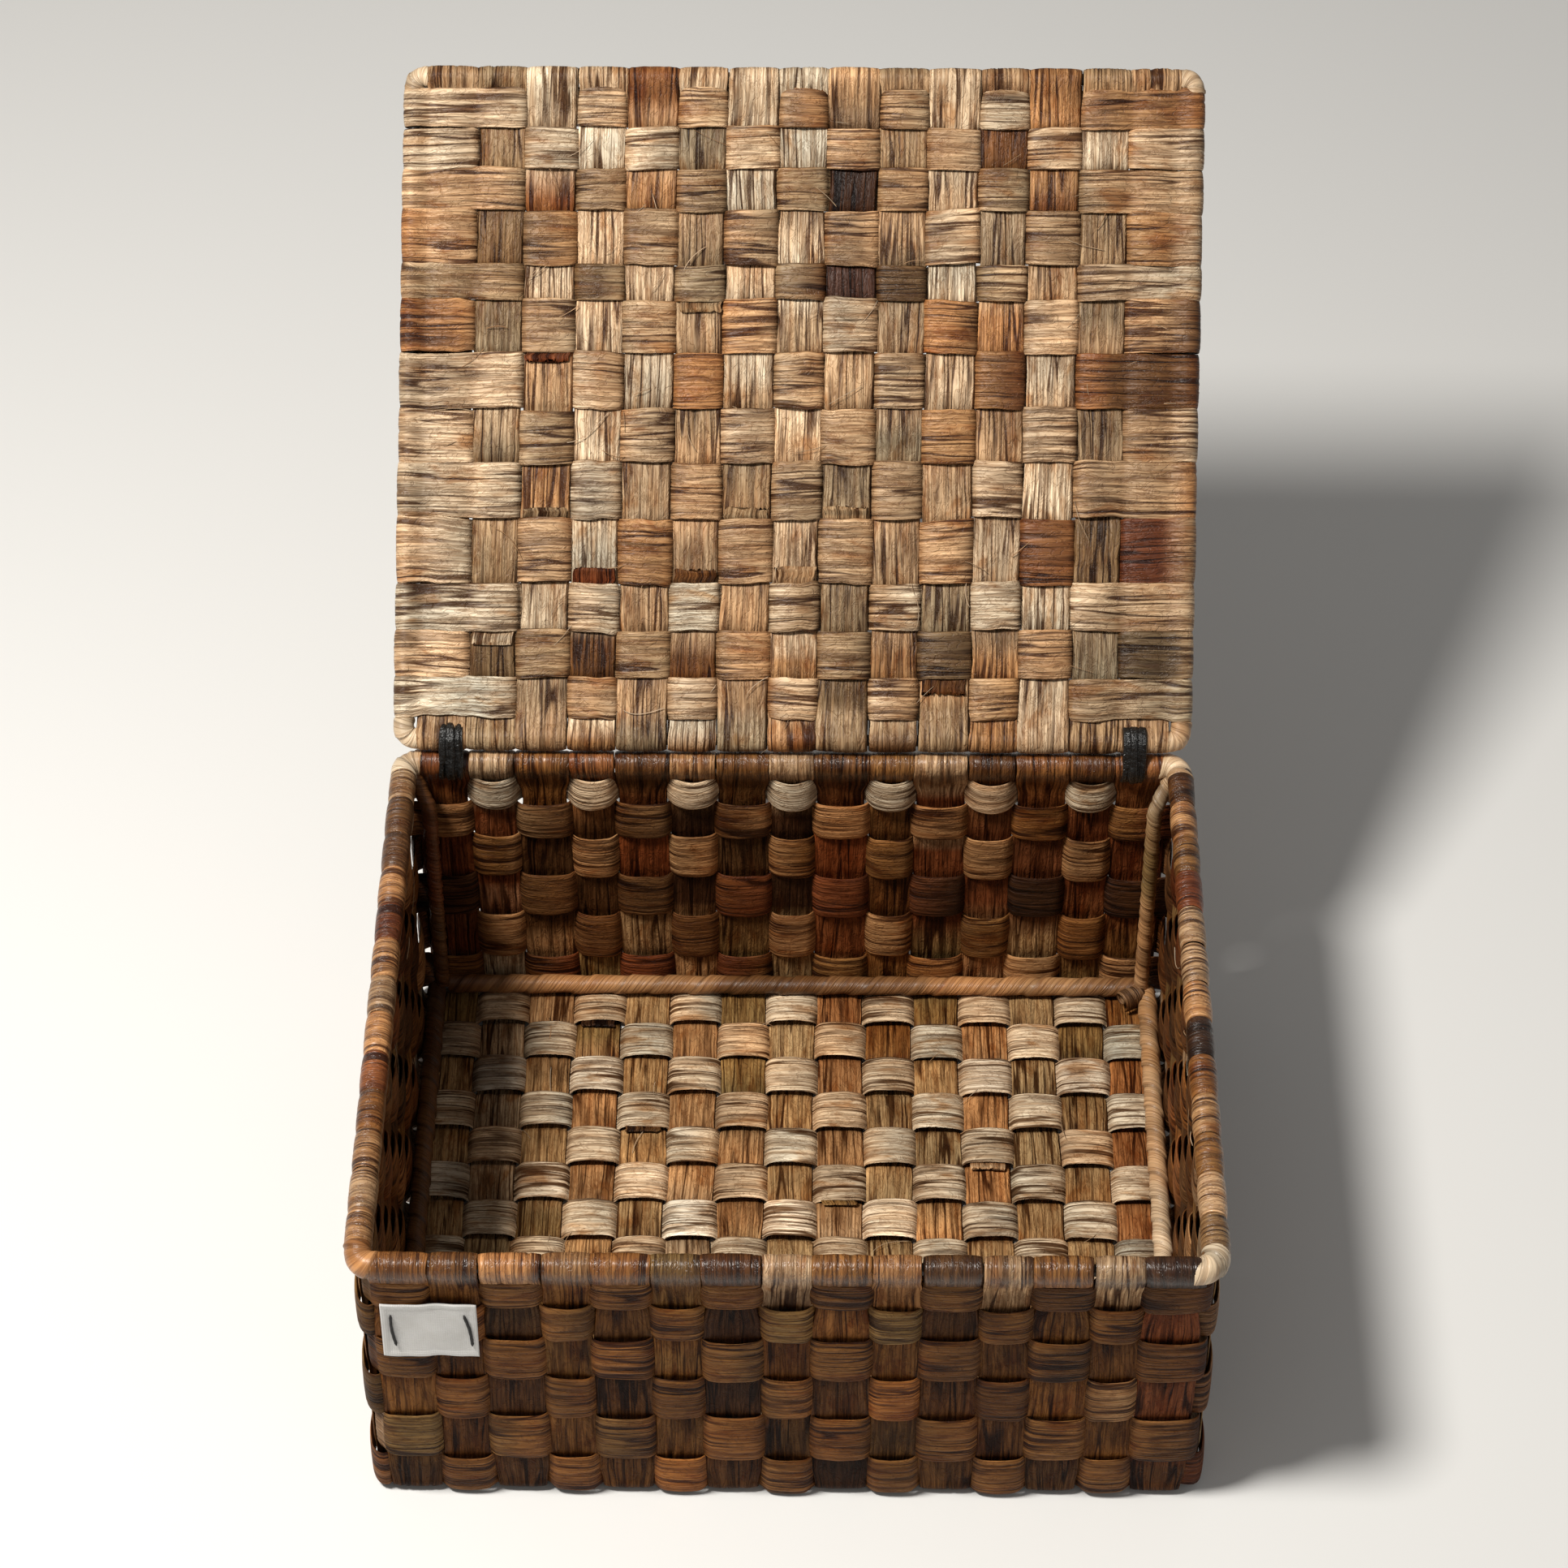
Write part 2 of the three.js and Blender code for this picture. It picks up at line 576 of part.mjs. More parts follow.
function tieTrack(side) {
  const from = new THREE.Vector3(side * TIE_POSITION - TIE_WIDTH / 2 - CLEARANCE, 0, 0);
  const to = new THREE.Vector3(side * TIE_POSITION + TIE_WIDTH / 2 + CLEARANCE, 0, 0);
  return sleeve([from, to], LID_ROW_EDGE - CLEARANCE, LID_ROLL_RADIUS, ROLL_SIDES);
}

// The room on the lid that so many of its rows take up, each by its share of the whole

function roomOfLidRows(count) {
  const sum = (shares) => shares.reduce((total, share) => total + share, 0);
  return (LID_ROW_ROOM * sum(LID_ROW_SHARES.slice(0, count))) / sum(LID_ROW_SHARES);
}

function lidRow(row) {
  const centres = Array.from({ length: LONG_STRIP_COUNT }, (_, i) => longStripX(i + 1));
  const level = (i) => {
    const edge = i === 0 || i === LONG_STRIP_COUNT - 1;
    return edge || (i + 1 + row) % 2 ? ROW_OUT : ROW_IN;
  };
  const left = loopRound(point(-BOX_X, 0), ROD_CLEAR_RADIUS, 270, 80);
  const right = left.map((p) => point(-p.x, p.y)).reverse();
  const path = [...left, ...plateaus(centres, LONG_STRIP_WIDTH, level), ...right];
  const width = roomOfLidRows(row) - roomOfLidRows(row - 1) - LID_ROW_GAP;
  const u = LID_LENGTH - LID_ROW_EDGE - roomOfLidRows(row - 1) - width / 2;
  return strip(path, width, (x, v, w) => inLid(u + w, v, x));
}

const lidPath = roundedRectangle(BOX_X, LID_LENGTH / 2, 0, RIM_CORNER_RADIUS)
  .map((p) => new THREE.Vector3(p.x, p.y - LID_LENGTH / 2, 0));

function lidCornerWrap(corner) {
  return sleeve(cornerBend(lidPath, corner), LID_ROLL_RADIUS, ROD_CLEAR_RADIUS);
}

// A strap tied round the basket's back rim roll and the lid's rear roll

function hingeTie(side) {
  const low = point(BOX_Y, RIM_HEIGHT);
  const high = point(LID_AXIS.y, LID_AXIS.z);
  const between = new THREE.Vector2().subVectors(high, low);
  const lean = THREE.MathUtils.radToDeg(between.angle());
  const spread = THREE.MathUtils.radToDeg(
    Math.acos((RIM_ROLL_RADIUS - LID_ROLL_RADIUS) / between.length()));
  const loop = (slack) => [
    ...loopRound(low, RIM_ROLL_RADIUS + slack, lean + spread, lean - spread + 360, TIE_STEPS),
    ...loopRound(high, LID_ROLL_RADIUS + slack, lean - spread, lean + spread, TIE_STEPS),
  ];
  const inner = loop(TIE_SLACK);
  const outer = loop(TIE_SLACK + TIE_THICKNESS);
  const x = side * TIE_POSITION;
  const rings = inner.map((p, i) => [
    new THREE.Vector3(x - TIE_WIDTH / 2, p.x, p.y),
    new THREE.Vector3(x + TIE_WIDTH / 2, p.x, p.y),
    new THREE.Vector3(x + TIE_WIDTH / 2, outer[i].x, outer[i].y),
    new THREE.Vector3(x - TIE_WIDTH / 2, outer[i].x, outer[i].y),
  ]);
  return loft(rings, true, []);
}

// A blank cloth label sewn to the front wall near its left end

function label() {
  const outline = roundedRectangle(LABEL_WIDTH / 2, LABEL_HEIGHT / 2, 0, LABEL_CORNER_RADIUS);
  const shape = new THREE.Shape(outline.map((p) => point(p.x, p.y)));
  const plate = new THREE.ExtrudeGeometry(shape, { depth: LABEL_THICKNESS, bevelEnabled: false });
  plate.rotateX(Math.PI / 2);
  const face = BOX_Y + ROW_OUT + STRIP_THICKNESS + CLEARANCE;
  return plate.translate(-BOX_X + LABEL_FROM_LEFT, -face, RIM_HEIGHT - LABEL_BELOW_RIM);
}

// Assembly

const basket = new THREE.Group();
basket.add(mesh("wire_frame", wireFrame(), FINISHES.rod));
basket.add(mesh("long_strips", longStrips(), FINISHES.olive));
basket.add(mesh("cross_strips", crossStrips(), FINISHES.straw));
for (let row = 1; row <= WALL_ROW_COUNT; row++) {
  basket.add(mesh(`wall_row_${row}`, wallRow(row), row % 2 ? FINISHES.tan : FINISHES.brown));
}
for (const side of ["front", "right", "back", "left"]) {
  const name = `base_wrap_${side}`;
  basket.add(mesh(name, baseWrap(name, side), FINISHES.brown));
}
CORNERS.forEach(([place, sx, sy], corner) => {
  const name = `post_wrap_${place}`;
  basket.add(mesh(name, postWrap(name, sx, sy), FINISHES.brown));
  basket.add(mesh(`rim_corner_wrap_${place}`, rimCornerWrap(corner, sx, sy), FINISHES.tan));
});
basket.add(mesh("hinge_tie_left", hingeTie(-1), FINISHES.tie));
basket.add(mesh("hinge_tie_right", hingeTie(1), FINISHES.tie));
basket.add(mesh("label", label(), FINISHES.cloth));

const lid = new THREE.Group();
lid.add(mesh("lid_wire", rod(lidPath, RIM_ROD_RADIUS, true), FINISHES.rod));
for (let k = 1; k <= LONG_STRIP_COUNT; k++) {
  const name = `lid_strip_${String(k).padStart(2, "0")}`;
  lid.add(mesh(name, lidStrip(k), k % 2 ? FINISHES.olive : FINISHES.tan));
}
for (let row = 1; row <= LID_ROW_COUNT; row++) {
  const name = `lid_row_${String(row).padStart(2, "0")}`;
  lid.add(mesh(name, lidRow(row), FINISHES.straw));
}
CORNERS.forEach(([place], corner) => {
  lid.add(mesh(`lid_corner_wrap_${place}`, lidCornerWrap(corner), FINISHES.tan));
});
lid.position.copy(LID_AXIS);
lid.rotation.x = -radians(LID_OPEN_DEGREES);

const woven_basket = new THREE.Group();
woven_basket.add(basket, lid);

export default woven_basket;
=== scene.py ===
import json
import math
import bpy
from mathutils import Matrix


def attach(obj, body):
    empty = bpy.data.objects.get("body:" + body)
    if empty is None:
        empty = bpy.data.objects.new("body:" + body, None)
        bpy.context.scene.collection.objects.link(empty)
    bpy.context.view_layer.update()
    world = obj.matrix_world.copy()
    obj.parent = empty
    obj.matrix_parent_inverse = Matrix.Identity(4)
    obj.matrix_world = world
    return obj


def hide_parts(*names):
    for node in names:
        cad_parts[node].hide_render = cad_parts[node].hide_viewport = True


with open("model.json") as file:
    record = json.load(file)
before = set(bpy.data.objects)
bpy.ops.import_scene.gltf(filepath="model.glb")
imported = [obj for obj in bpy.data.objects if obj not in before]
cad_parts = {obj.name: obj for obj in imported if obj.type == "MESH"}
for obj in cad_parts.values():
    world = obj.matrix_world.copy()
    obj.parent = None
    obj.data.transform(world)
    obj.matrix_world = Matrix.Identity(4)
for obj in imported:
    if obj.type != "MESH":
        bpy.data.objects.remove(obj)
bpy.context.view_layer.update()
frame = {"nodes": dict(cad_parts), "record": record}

import zlib

import bpy
import numpy as np
from mathutils import Matrix, Vector

# A lidded basket of flattened water hyacinth stems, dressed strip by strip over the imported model.
# Shapes are worked out in millimetres and scaled to metres when a mesh is made. +Z is up, the
# front wall faces -Y, and the lid stands open behind the back rim.

MM = 0.001
UP = np.array([0.0, 0, 1])

# Sizes of the basket
HALF_WIDTH = 155.0       # from the middle to the side rim rods
HALF_DEPTH = 130.0
RIM_HEIGHT = 132.0
WEAVE_EDGE = 5.0
LONG_COUNT = 15
CROSS_COUNT = 13
LONG_PITCH = 2 * (HALF_WIDTH - WEAVE_EDGE) / LONG_COUNT
CROSS_PITCH = 2 * (HALF_DEPTH - WEAVE_EDGE) / CROSS_COUNT
ROW_EDGES = [126.3, 111, 92.5, 70, 47, 22.5, 2.5]    # heights of the wall rows' edges, from the top
ROW_COUNT = len(ROW_EDGES) - 1
BASE_X = 147.9
BASE_Y = 122.9
BASE_Z = 9.8
POST_X = BASE_X - 2.3
POST_Y = BASE_Y - 2.3
CORNER_RADIUS = 6.5
ROD_RADIUS = 2.3

# Sizes of the lid
JOINT = frame["record"]["behaviour"]["joints"][0]
HINGE = [1000 * v for v in JOINT["pos_m"]]
LID_ANGLE = math.radians(180 - JOINT["range_deg"][1])
LID_UP = np.array([0, math.cos(LID_ANGLE), math.sin(LID_ANGLE)])
LID_FACE = np.array([0, -math.sin(LID_ANGLE), math.cos(LID_ANGLE)])
LID_LENGTH = 263.0
LID_CORNER = 4.0
LID_LEAN = 0.014         # how far the hand-made lid leans to the right as it rises
LID_ROW_EDGES = [258.6, 243, 226.9, 210.4, 188.8, 174.9, 153.9, 132, 110.4, 88.1, 62.3, 43.5, 24.7, 8.3]
LID_COUNT = len(LID_ROW_EDGES) - 1

# Sizes of the strips
STRIP_THICKNESS = 1.6
RIM_TURN = 4.7           # radius of the middle of a strip that is rolled over the rim rod
LID_TURN = 3.85
HINGE_TURN = LID_TURN + 0.45
RIM_TAIL = [(5.2, 2.9), (7.8, 1.1), (12.5, 0.6)]
LID_TAIL = [(4.6, 2.2), (7.0, 0.9), (11.0, 0.6)]
CROSS_HALF = 9.2
FLOOR_HALF = 9.2
LONG_LEVEL = 2.38        # how high the middle of the floor's strips lies
CROSS_LEVEL = 2.75
ROW_BEND = 5.0           # radius of the wall rows' corners
WEAVE_SLACK = 0.9        # how far a strip's arch reaches past the strip it crosses
DIP_SHADE = 0.48         # how much painted shade darkens a strip where it dips, and the share of its arch where that starts
DIP_START = 0.76
STEP = 1.1
BOTH_SIDES = (31, 27)    # points across the two faces of a strip that shows both
ONE_SIDE = (43, 13)
SHADE_POWERS = np.array([1.0, 1.3, 1.6])     # painted shade where a stem dips is browner, not greyer

# Radii of the rods with the strips wound round them, under the last turn
BASE_WINDING = 3.5
POST_WINDING = 2.8
RIM_WINDING = 4.9
LID_WINDING = 4.0

# Sizes of the hinge ties: each has three strands side by side
TIE_X = 136.2
STRAND_PITCH = 2.9
STRAND_HALF = 1.75
STRAND_THICKNESS = 2.1
RIM_LOOP = 6.2           # radius of a strand's middle round the rim rod, and round the lid's rear rod
LID_LOOP = 5.3
LOOP_SWELL = 0.3         # how much wider the middle strand's loop is

# Sizes of the label
LABEL_WIDTH, LABEL_HEIGHT = 35.0, 29.0
LABEL_X, LABEL_Z = -130.0, 100.0
LABEL_FACE = -(HALF_DEPTH + 4.0)
LABEL_CLOTH = 0.55       # thickness of the cloth, and how much thicker its hem is
LABEL_HEM = 2.2
HEM_RISE = 0.22
STITCHES = {"left": (-13.8, -12.6, -0.6), "right": (12.9, 15.2, 0.6)}    # x at the top and foot, and its bow
STITCH_TOP, STITCH_LENGTH, STITCH_RADIUS = 9.2, 17.4, 0.58


def linear(rgb):
    """A colour's linear channels from its sRGB ones."""
    channels = [c / 255 for c in rgb]
    return np.array([c / 12.92 if c <= 0.04045 else ((c + 0.055) / 1.055) ** 2.4 for c in channels])


# Colours of dried hyacinth
TONE = {word: linear(rgb) for word, rgb in {
    "cream": (232, 214, 188), "straw": (225, 203, 172), "sand": (212, 184, 150), "tan": (190, 155, 117),
    "honey": (177, 130, 85), "orange": (152, 98, 56), "rust": (118, 64, 34), "brown": (108, 70, 37),
    "umber": (86, 54, 28), "dark": (64, 39, 22), "olive": (136, 105, 62), "grey": (163, 136, 103),
    "slate": (122, 96, 66), "plum": (76, 49, 37), "toffee": (138, 92, 48), "hay": (174, 138, 94),
    "bark": (120, 79, 39), "walnut": (96, 61, 29),
}.items()}


def seeded(name):
    return np.random.default_rng(zlib.crc32(name.encode()))


# Curves and smooth noise

def unit(vectors):
    return vectors / np.linalg.norm(vectors, axis=-1, keepdims=True)


def run_along(line):
    """How far each point of a line is from its start."""
    return np.concatenate([[0], np.cumsum(np.linalg.norm(np.diff(line, axis=0), axis=1))])


def gaussian(values, sigma, closed=False):
    """values smoothed along their first axis by a bell of that many samples."""
    reach = int(3 * sigma) + 1
    weights = np.exp(-0.5 * (np.arange(-reach, reach + 1) / sigma) ** 2)
    weights /= weights.sum()
    flat = values.reshape(len(values), -1)
    padded = np.pad(flat, ((reach, reach), (0, 0)), mode="wrap" if closed else "edge")
    if not closed:
        padded[:reach] = 2 * flat[0] - flat[1:reach + 1][::-1]
        padded[-reach:] = 2 * flat[-1] - flat[-reach - 1:-1][::-1]
    out = np.stack([np.convolve(column, weights, mode="valid") for column in padded.T], axis=1)
    return out.reshape(values.shape)


def wander(count, wavelength, rng, closed=False):
    """count samples of smooth noise of about unit spread, with a new value each wavelength samples."""
    knots = max(4, int(count / wavelength) + 3)
    values = rng.normal(0, 1, knots)
    if closed:
        values[-1] = values[0]
    at = np.linspace(0, knots - 1, count)
    low = np.minimum(at.astype(int), knots - 2)
    t = at - low
    t = t * t * (3 - 2 * t)
    return values[low] * (1 - t) + values[low + 1] * t


def even_steps(points, step, closed=False, dims=3):
    """points along the same route, a step apart; columns after the first dims are carried along."""
    points = np.asarray(points, dtype=float)
    if closed:
        points = np.vstack([points, points[:1]])
    lengths = np.linalg.norm(np.diff(points[:, :dims], axis=0), axis=1)
    points = points[np.concatenate([[True], lengths > 1e-6])]
    along = run_along(points[:, :dims])
    count = max(4, int(round(along[-1] / step)))
    at = np.linspace(0, along[-1], count + 1)
    if closed:
        at = at[:-1]
    return np.stack([np.interp(at, along, column) for column in points.T], axis=1)


def directions(line, closed=False):
    """The unit direction of a line at each of its points."""
    across = np.roll(line, -1, axis=0) - np.roll(line, 1, axis=0)
    return unit(across if closed else np.gradient(line, axis=0))


def rings_round(line, side, over, reach, angles):
    """Rings of points round a line, at a reach for each of its points and angles."""
    return (line[:, None, :] + side[:, None, :] * (reach * np.cos(angles))[:, :, None]
            + over[:, None, :] * (reach * np.sin(angles))[:, :, None])


def rolled_end(centre, towards, out, side, radius, tail):
    """A strip's end in its own plane: up along towards on that side of a rod, over it, and down the
    other side, where its tail is tucked close to the middle of the weave."""
    centre, towards, out = (np.array(v, dtype=float) for v in (centre, towards, out))
    angles = np.radians(np.linspace(100, -122, 26))
    points = [centre + radius * (math.cos(a) * towards + side * math.sin(a) * out) for a in angles]
    points += [centre - down * towards - side * off * out for down, off in tail]
    return [(p[0], p[1], 1.0) for p in points]


def alternate(start, count):
    """1 and -1 by turns for the strips 1 to count: 1 where start and the strip's number make an odd sum."""
    return [1 if (start + n) % 2 else -1 for n in range(1, count + 1)]


def weave(at, centres, halves, signs, level, arch):
    """How far a strip stands off the middle of the weave, over and under the strips it crosses, and
    the painted shade that darkens it where it dips."""
    centres, halves, signs = (np.array(v, dtype=float) for v in (centres, halves, signs))
    arch = np.broadcast_to(arch, centres.shape)
    edges = (centres[:-1] + halves[:-1] + centres[1:] - halves[1:]) / 2
    cell = np.searchsorted(edges, at)
    span = (at - centres[cell]) / (halves[cell] + WEAVE_SLACK)
    offset = signs[cell] * (level + arch[cell] * np.clip(1 - span ** 2, -0.2, 1))
    shade = 1 - DIP_SHADE * np.clip((np.abs(span) - DIP_START) / (1 - DIP_START), 0, 1) ** 1.5
    return offset, shade


# Meshes

def add_mesh(name, vertices, faces, uvs, tones, body, slot, material, replaced=()):
    """A piece from arrays: faces is a list of index arrays, one for each size of face."""
    mesh = bpy.data.meshes.new(name)
    mesh.vertices.add(len(vertices))
    mesh.vertices.foreach_set("co", (vertices * MM).astype(np.float32).ravel())
    loops = np.concatenate([f.ravel() for f in faces])
    sizes = np.concatenate([np.full(len(f), f.shape[1]) for f in faces])
    mesh.loops.add(len(loops))
    mesh.loops.foreach_set("vertex_index", loops.astype(np.int32))
    mesh.polygons.add(len(sizes))
    starts = np.concatenate([[0], np.cumsum(sizes)[:-1]])
    mesh.polygons.foreach_set("loop_start", starts.astype(np.int32))
    mesh.polygons.foreach_set("use_smooth", np.ones(len(sizes), dtype=bool))
    layer = mesh.uv_layers.new(name="Strip")
    layer.data.foreach_set("uv", (np.concatenate(uvs) * MM).astype(np.float32).ravel())
    if tones is not None:
        colours = mesh.color_attributes.new(name="Tone", type="FLOAT_COLOR", domain="POINT")
        colours.data.foreach_set("color", tones.astype(np.float32).ravel())
    mesh.update(calc_edges=True)
    mesh.materials.append(material)
    piece = bpy.data.objects.new(name, mesh)
    bpy.context.scene.collection.objects.link(piece)
    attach(piece, body)
    if replaced:
        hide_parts(*replaced)
    return piece


def ring_faces(count, ring, closed=False):
    """The quads between count rings of points, and the two caps of a strand that isn't closed."""
    near = np.arange(count if closed else count - 1)[:, None] * ring
    far = (near + ring) % (count * ring)
    k = np.arange(ring)[None, :]
    after = (k + 1) % ring
    quads = np.stack([near + k, near + after, far + after, far + k], axis=2).reshape(-1, 4)
    return quads, np.stack([np.arange(ring)[::-1], (count - 1) * ring + np.arange(ring)])


def add_swept(name, points, run, girth, tones, closed, *owner, slope=0.0):
    """Rings of points joined into one closed skin, with lengths along and across as its UV map. A
    slope slants the map, for a strip that is wound round the line of the rings. owner is the body,
    the slot, which is not used, the material and the nodes that the piece replaces."""
    count, ring = points.shape[:2]
    quads, caps = ring_faces(count, ring, closed)
    spans = len(quads) // ring
    ahead = np.concatenate([run, [2 * run[-1] - run[-2]]])
    s0, s1 = np.repeat(run[:spans], ring), np.repeat(ahead[1:spans + 1], ring)
    w0, w1 = np.tile(girth[:ring], spans), np.tile(girth[1:ring + 1], spans)
    corners = [np.stack([s - slope * w, w], axis=1) for s, w in ((s0, w0), (s0, w1), (s1, w1), (s1, w0))]
    faces, uvs = [quads], [np.stack(corners, axis=1).reshape(-1, 2)]
    if not closed:
        cap = np.stack([np.full(ring, run[0]), girth[:ring]], axis=1)
        faces.append(caps)
        uvs += [cap, cap]
    middle = points[count // 2]
    ahead_way = points[min(count // 2 + 1, count - 1)].mean(0) - middle.mean(0)
    turn = np.cross(middle[1] - middle[0], ahead_way)
    if np.dot(turn, (middle[0] + middle[1]) / 2 - middle.mean(0)) < 0:
        faces = [f[:, ::-1] for f in faces]
        uvs = [uvs[0].reshape(-1, 4, 2)[:, ::-1].reshape(-1, 2)] + [u[::-1] for u in uvs[1:]]
    add_mesh(name, points.reshape(-1, 3), faces, uvs, tones.reshape(-1, 4), *owner)


def with_gloss(tone, gloss):
    """Tones for rings of points, with their gloss as a fourth channel."""
    fourth = np.broadcast_to(np.reshape(gloss, (-1, 1, 1)), (*tone.shape[:2], 1))
    return np.concatenate([tone, fourth], axis=2)


def tones_along(count, words, rng, closed=False):
    """A colour for each sample: the stems named by the words follow each other, joined softly."""
    shades = np.array([TONE[word] for word in words.split()])
    last = len(shades) - 1
    if last:
        at = np.clip(np.linspace(0, last, count) + 0.16 * wander(count, 16, rng), 0, last - 1e-6)
        low = at.astype(int)
        t = np.clip((at - low - 0.3) / 0.4, 0, 1)[:, None]
        base = shades[low] * (1 - t) + shades[low + 1] * t
    else:
        base = np.repeat(shades, count, axis=0)
    light = 1 + 0.13 * wander(count, 20, rng, closed) + 0.08 * wander(count, 7, rng, closed)
    warm = 0.06 * wander(count, 26, rng, closed)
    return base * light[:, None] * np.stack([1 + warm, np.ones(count), 1 - warm], axis=1)


def creases(count, columns, half, rng, depth, closed=False):
    """Heights of the lengthwise creases and fibres of one face, and how much painted shade darkens each spot
    in them.
    """
    x = np.linspace(-1, 1, columns)[None, :]
    height = np.zeros((count, columns))
    dark = np.zeros((count, columns))
    depth *= rng.uniform(0.45, 1.3)
    for _ in range(int(rng.integers(4, 9))):
        middle = rng.uniform(-0.9, 0.9) + 0.16 * wander(count, 24, rng, closed)
        strength = np.clip(0.15 + wander(count, 12, rng, closed), 0, 1.9)
        spread = rng.uniform(0.028, 0.075) * 9 / half
        dip = np.exp(-((x - middle[:, None]) / spread) ** 2) * strength[:, None]
        height -= 0.9 * depth * dip
        dark += 0.26 * dip
    for column in height.T:
        column += 0.16 * depth * wander(count, 9, rng, closed) + 0.14 * depth * wander(count, 3, rng, closed)
    return height, np.clip(dark, 0, 1)


def ribbon(name, body, slot, centre, normal, across, half, words, *, shade, closed=False,
           thickness=STRIP_THICKNESS, depth=0.26, gloss=0.0, material=None, replaced=(), ragged=0.0,
           fray=0.012, columns=ONE_SIDE):
    """A flattened stem along the line centre: across is its width direction, normal the way it faces.
    half and gloss may be given for each sample, as shade is."""
    rng = seeded(name)
    count = len(centre)
    half = half * (1 + 0.022 * wander(count, 26, rng, closed) + fray * wander(count, 5, rng, closed))
    drift = 0.3 * wander(count, 30, rng, closed)
    faces = []
    for side, points_across in zip((1, -1), columns):
        line = np.linspace(-1, 1, points_across)
        x = np.sin(line * math.pi / 2) * 0.3 + line * 0.7       # closer together near the edges
        lens = (1 - np.abs(x) ** 3.4) ** 0.62
        wobble = 1 + 0.10 * wander(count, 18, rng, closed)
        crease, dark = creases(count, points_across, float(half.mean()), rng, depth, closed)
        height = thickness / 2 * lens * wobble[:, None] + crease * (0.15 + 0.85 * lens)
        faces.append((x, side * height, dark))
    x, heights, crease_shades = (np.concatenate([top, low[..., -2:0:-1]], axis=-1) for top, low in zip(*faces))
    heights = heights + 0.10 * wander(count, 28, rng, closed)[:, None] * x
    offset = x * half[:, None] + drift[:, None]
    points = (centre[:, None, :] + np.array(across) * offset[:, :, None]
              + normal[:, None, :] * heights[:, :, None])
    if ragged:
        along = directions(centre)
        for end in (0, -1):
            points[end] += along[end] * (ragged * rng.uniform(-1, 1, len(x)))[:, None]
    tone = tones_along(count, words, rng, closed)[:, None, :]
    # Painted shade darkens the creases, and a painted highlight lightens both edges of the strip.
    light = (1 - 0.55 * crease_shades) * (1 + 0.18 * np.clip((np.abs(x) - 0.84) / 0.16, 0, 1))
    # Painted light: one edge lighter than the other, as if the strip tilted towards the lamp.
    light = light * (1 + 0.07 * wander(count, 12, rng, closed)[:, None] * x)
    # shade is the painted shade where the strip dips under a crossing strip, made browner by SHADE_POWERS.
    tone = tone * light[:, :, None] * np.clip(shade, 0.05, 1)[:, None, None] ** SHADE_POWERS
    run = run_along(centre) + 900 * rng.uniform()
    top = columns[0]
    girth = np.concatenate([x[:top], 2 - x[top:], [3.0]]) * float(half.mean()) + 60 * rng.uniform()
    add_swept(name, points, run, girth, with_gloss(tone, gloss), closed, body, slot,
              material or STRIP_MATERIAL, replaced)


def flat_ribbon(name, body, slot, path, place, way, half, words, *, closed=False, smooth=1.3, gloss=0.0,
                **looks):
    """A strip whose line lies in a plane: path holds u, v and shade, place gives the point at u and v,
    way is the width direction, and half and gloss may be worked out from the line."""
    line = gaussian(even_steps(path, STEP, closed, dims=2), smooth / STEP, closed)
    centre = place(line[:, 0], line[:, 1])
    normal = unit(np.cross(directions(centre, closed), way))
    half = half(line) if callable(half) else half
    gloss = gloss(line) if callable(gloss) else gloss
    ribbon(name, body, slot, centre, normal, way, half, words, closed=closed, gloss=gloss,
           shade=line[:, 2], **looks)


def plane(axis, value):
    """A place for flat_ribbon: u and v in the plane where that axis has that value."""
    def place(u, v):
        columns = [u, v]
        columns.insert(axis, np.full_like(u, value))
        return np.stack(columns, axis=1)
    return place


def widths_at(column, marks, halves):
    """A half width for flat_ribbon, from the line's u (column 0) or v (column 1)."""
    return lambda line: np.interp(line[:, column], marks, halves)


# Materials

BUMP_STRENGTH = 0.85


def fill(tree, made, inputs):
    """Sets inputs of a node to numbers and colours, or links them to sockets."""
    for key, value in inputs:
        if isinstance(value, bpy.types.NodeSocket):
            tree.links.new(value, made.inputs[key])
        else:
            made.inputs[key].default_value = value


def node(tree, kind, inputs=(), **settings):
    made = tree.nodes.new(kind)
    for key, value in settings.items():
        setattr(made, key, value)
    fill(tree, made, inputs)
    return made


def maths(tree, operation, *values):
    return node(tree, "ShaderNodeMath", list(enumerate(values)), operation=operation).outputs[0]


def blend(tree, factor, first, second, mode="MIX"):
    inputs = [(0, factor), (6, first), (7, second)]
    return node(tree, "ShaderNodeMix", inputs, data_type="RGBA", blend_type=mode).outputs[2]


def remap(tree, value, low, high, to_low=0.0, to_high=1.0):
    inputs = [(0, value), (1, low), (2, high), (3, to_low), (4, to_high)]
    return node(tree, "ShaderNodeMapRange", inputs, clamp=True).outputs[0]


def grey(tree, value):
    return node(tree, "ShaderNodeCombineColor", [(0, value), (1, value), (2, value)]).outputs[0]


def grain(tree, coordinates, along, across, detail, roughness, shift=0.0, swirl=0.0):
    """Noise stretched along the fibres: along and across are its details per metre."""
    inputs = [(0, coordinates), (1, (shift, shift, 0)), (3, (along, across, 1))]
    placed = node(tree, "ShaderNodeMapping", inputs).outputs[0]
    inputs = [("Vector", placed), ("Scale", 1.0), ("Detail", detail), ("Roughness", roughness),
              ("Distortion", swirl)]
    return node(tree, "ShaderNodeTexNoise", inputs).outputs[0]


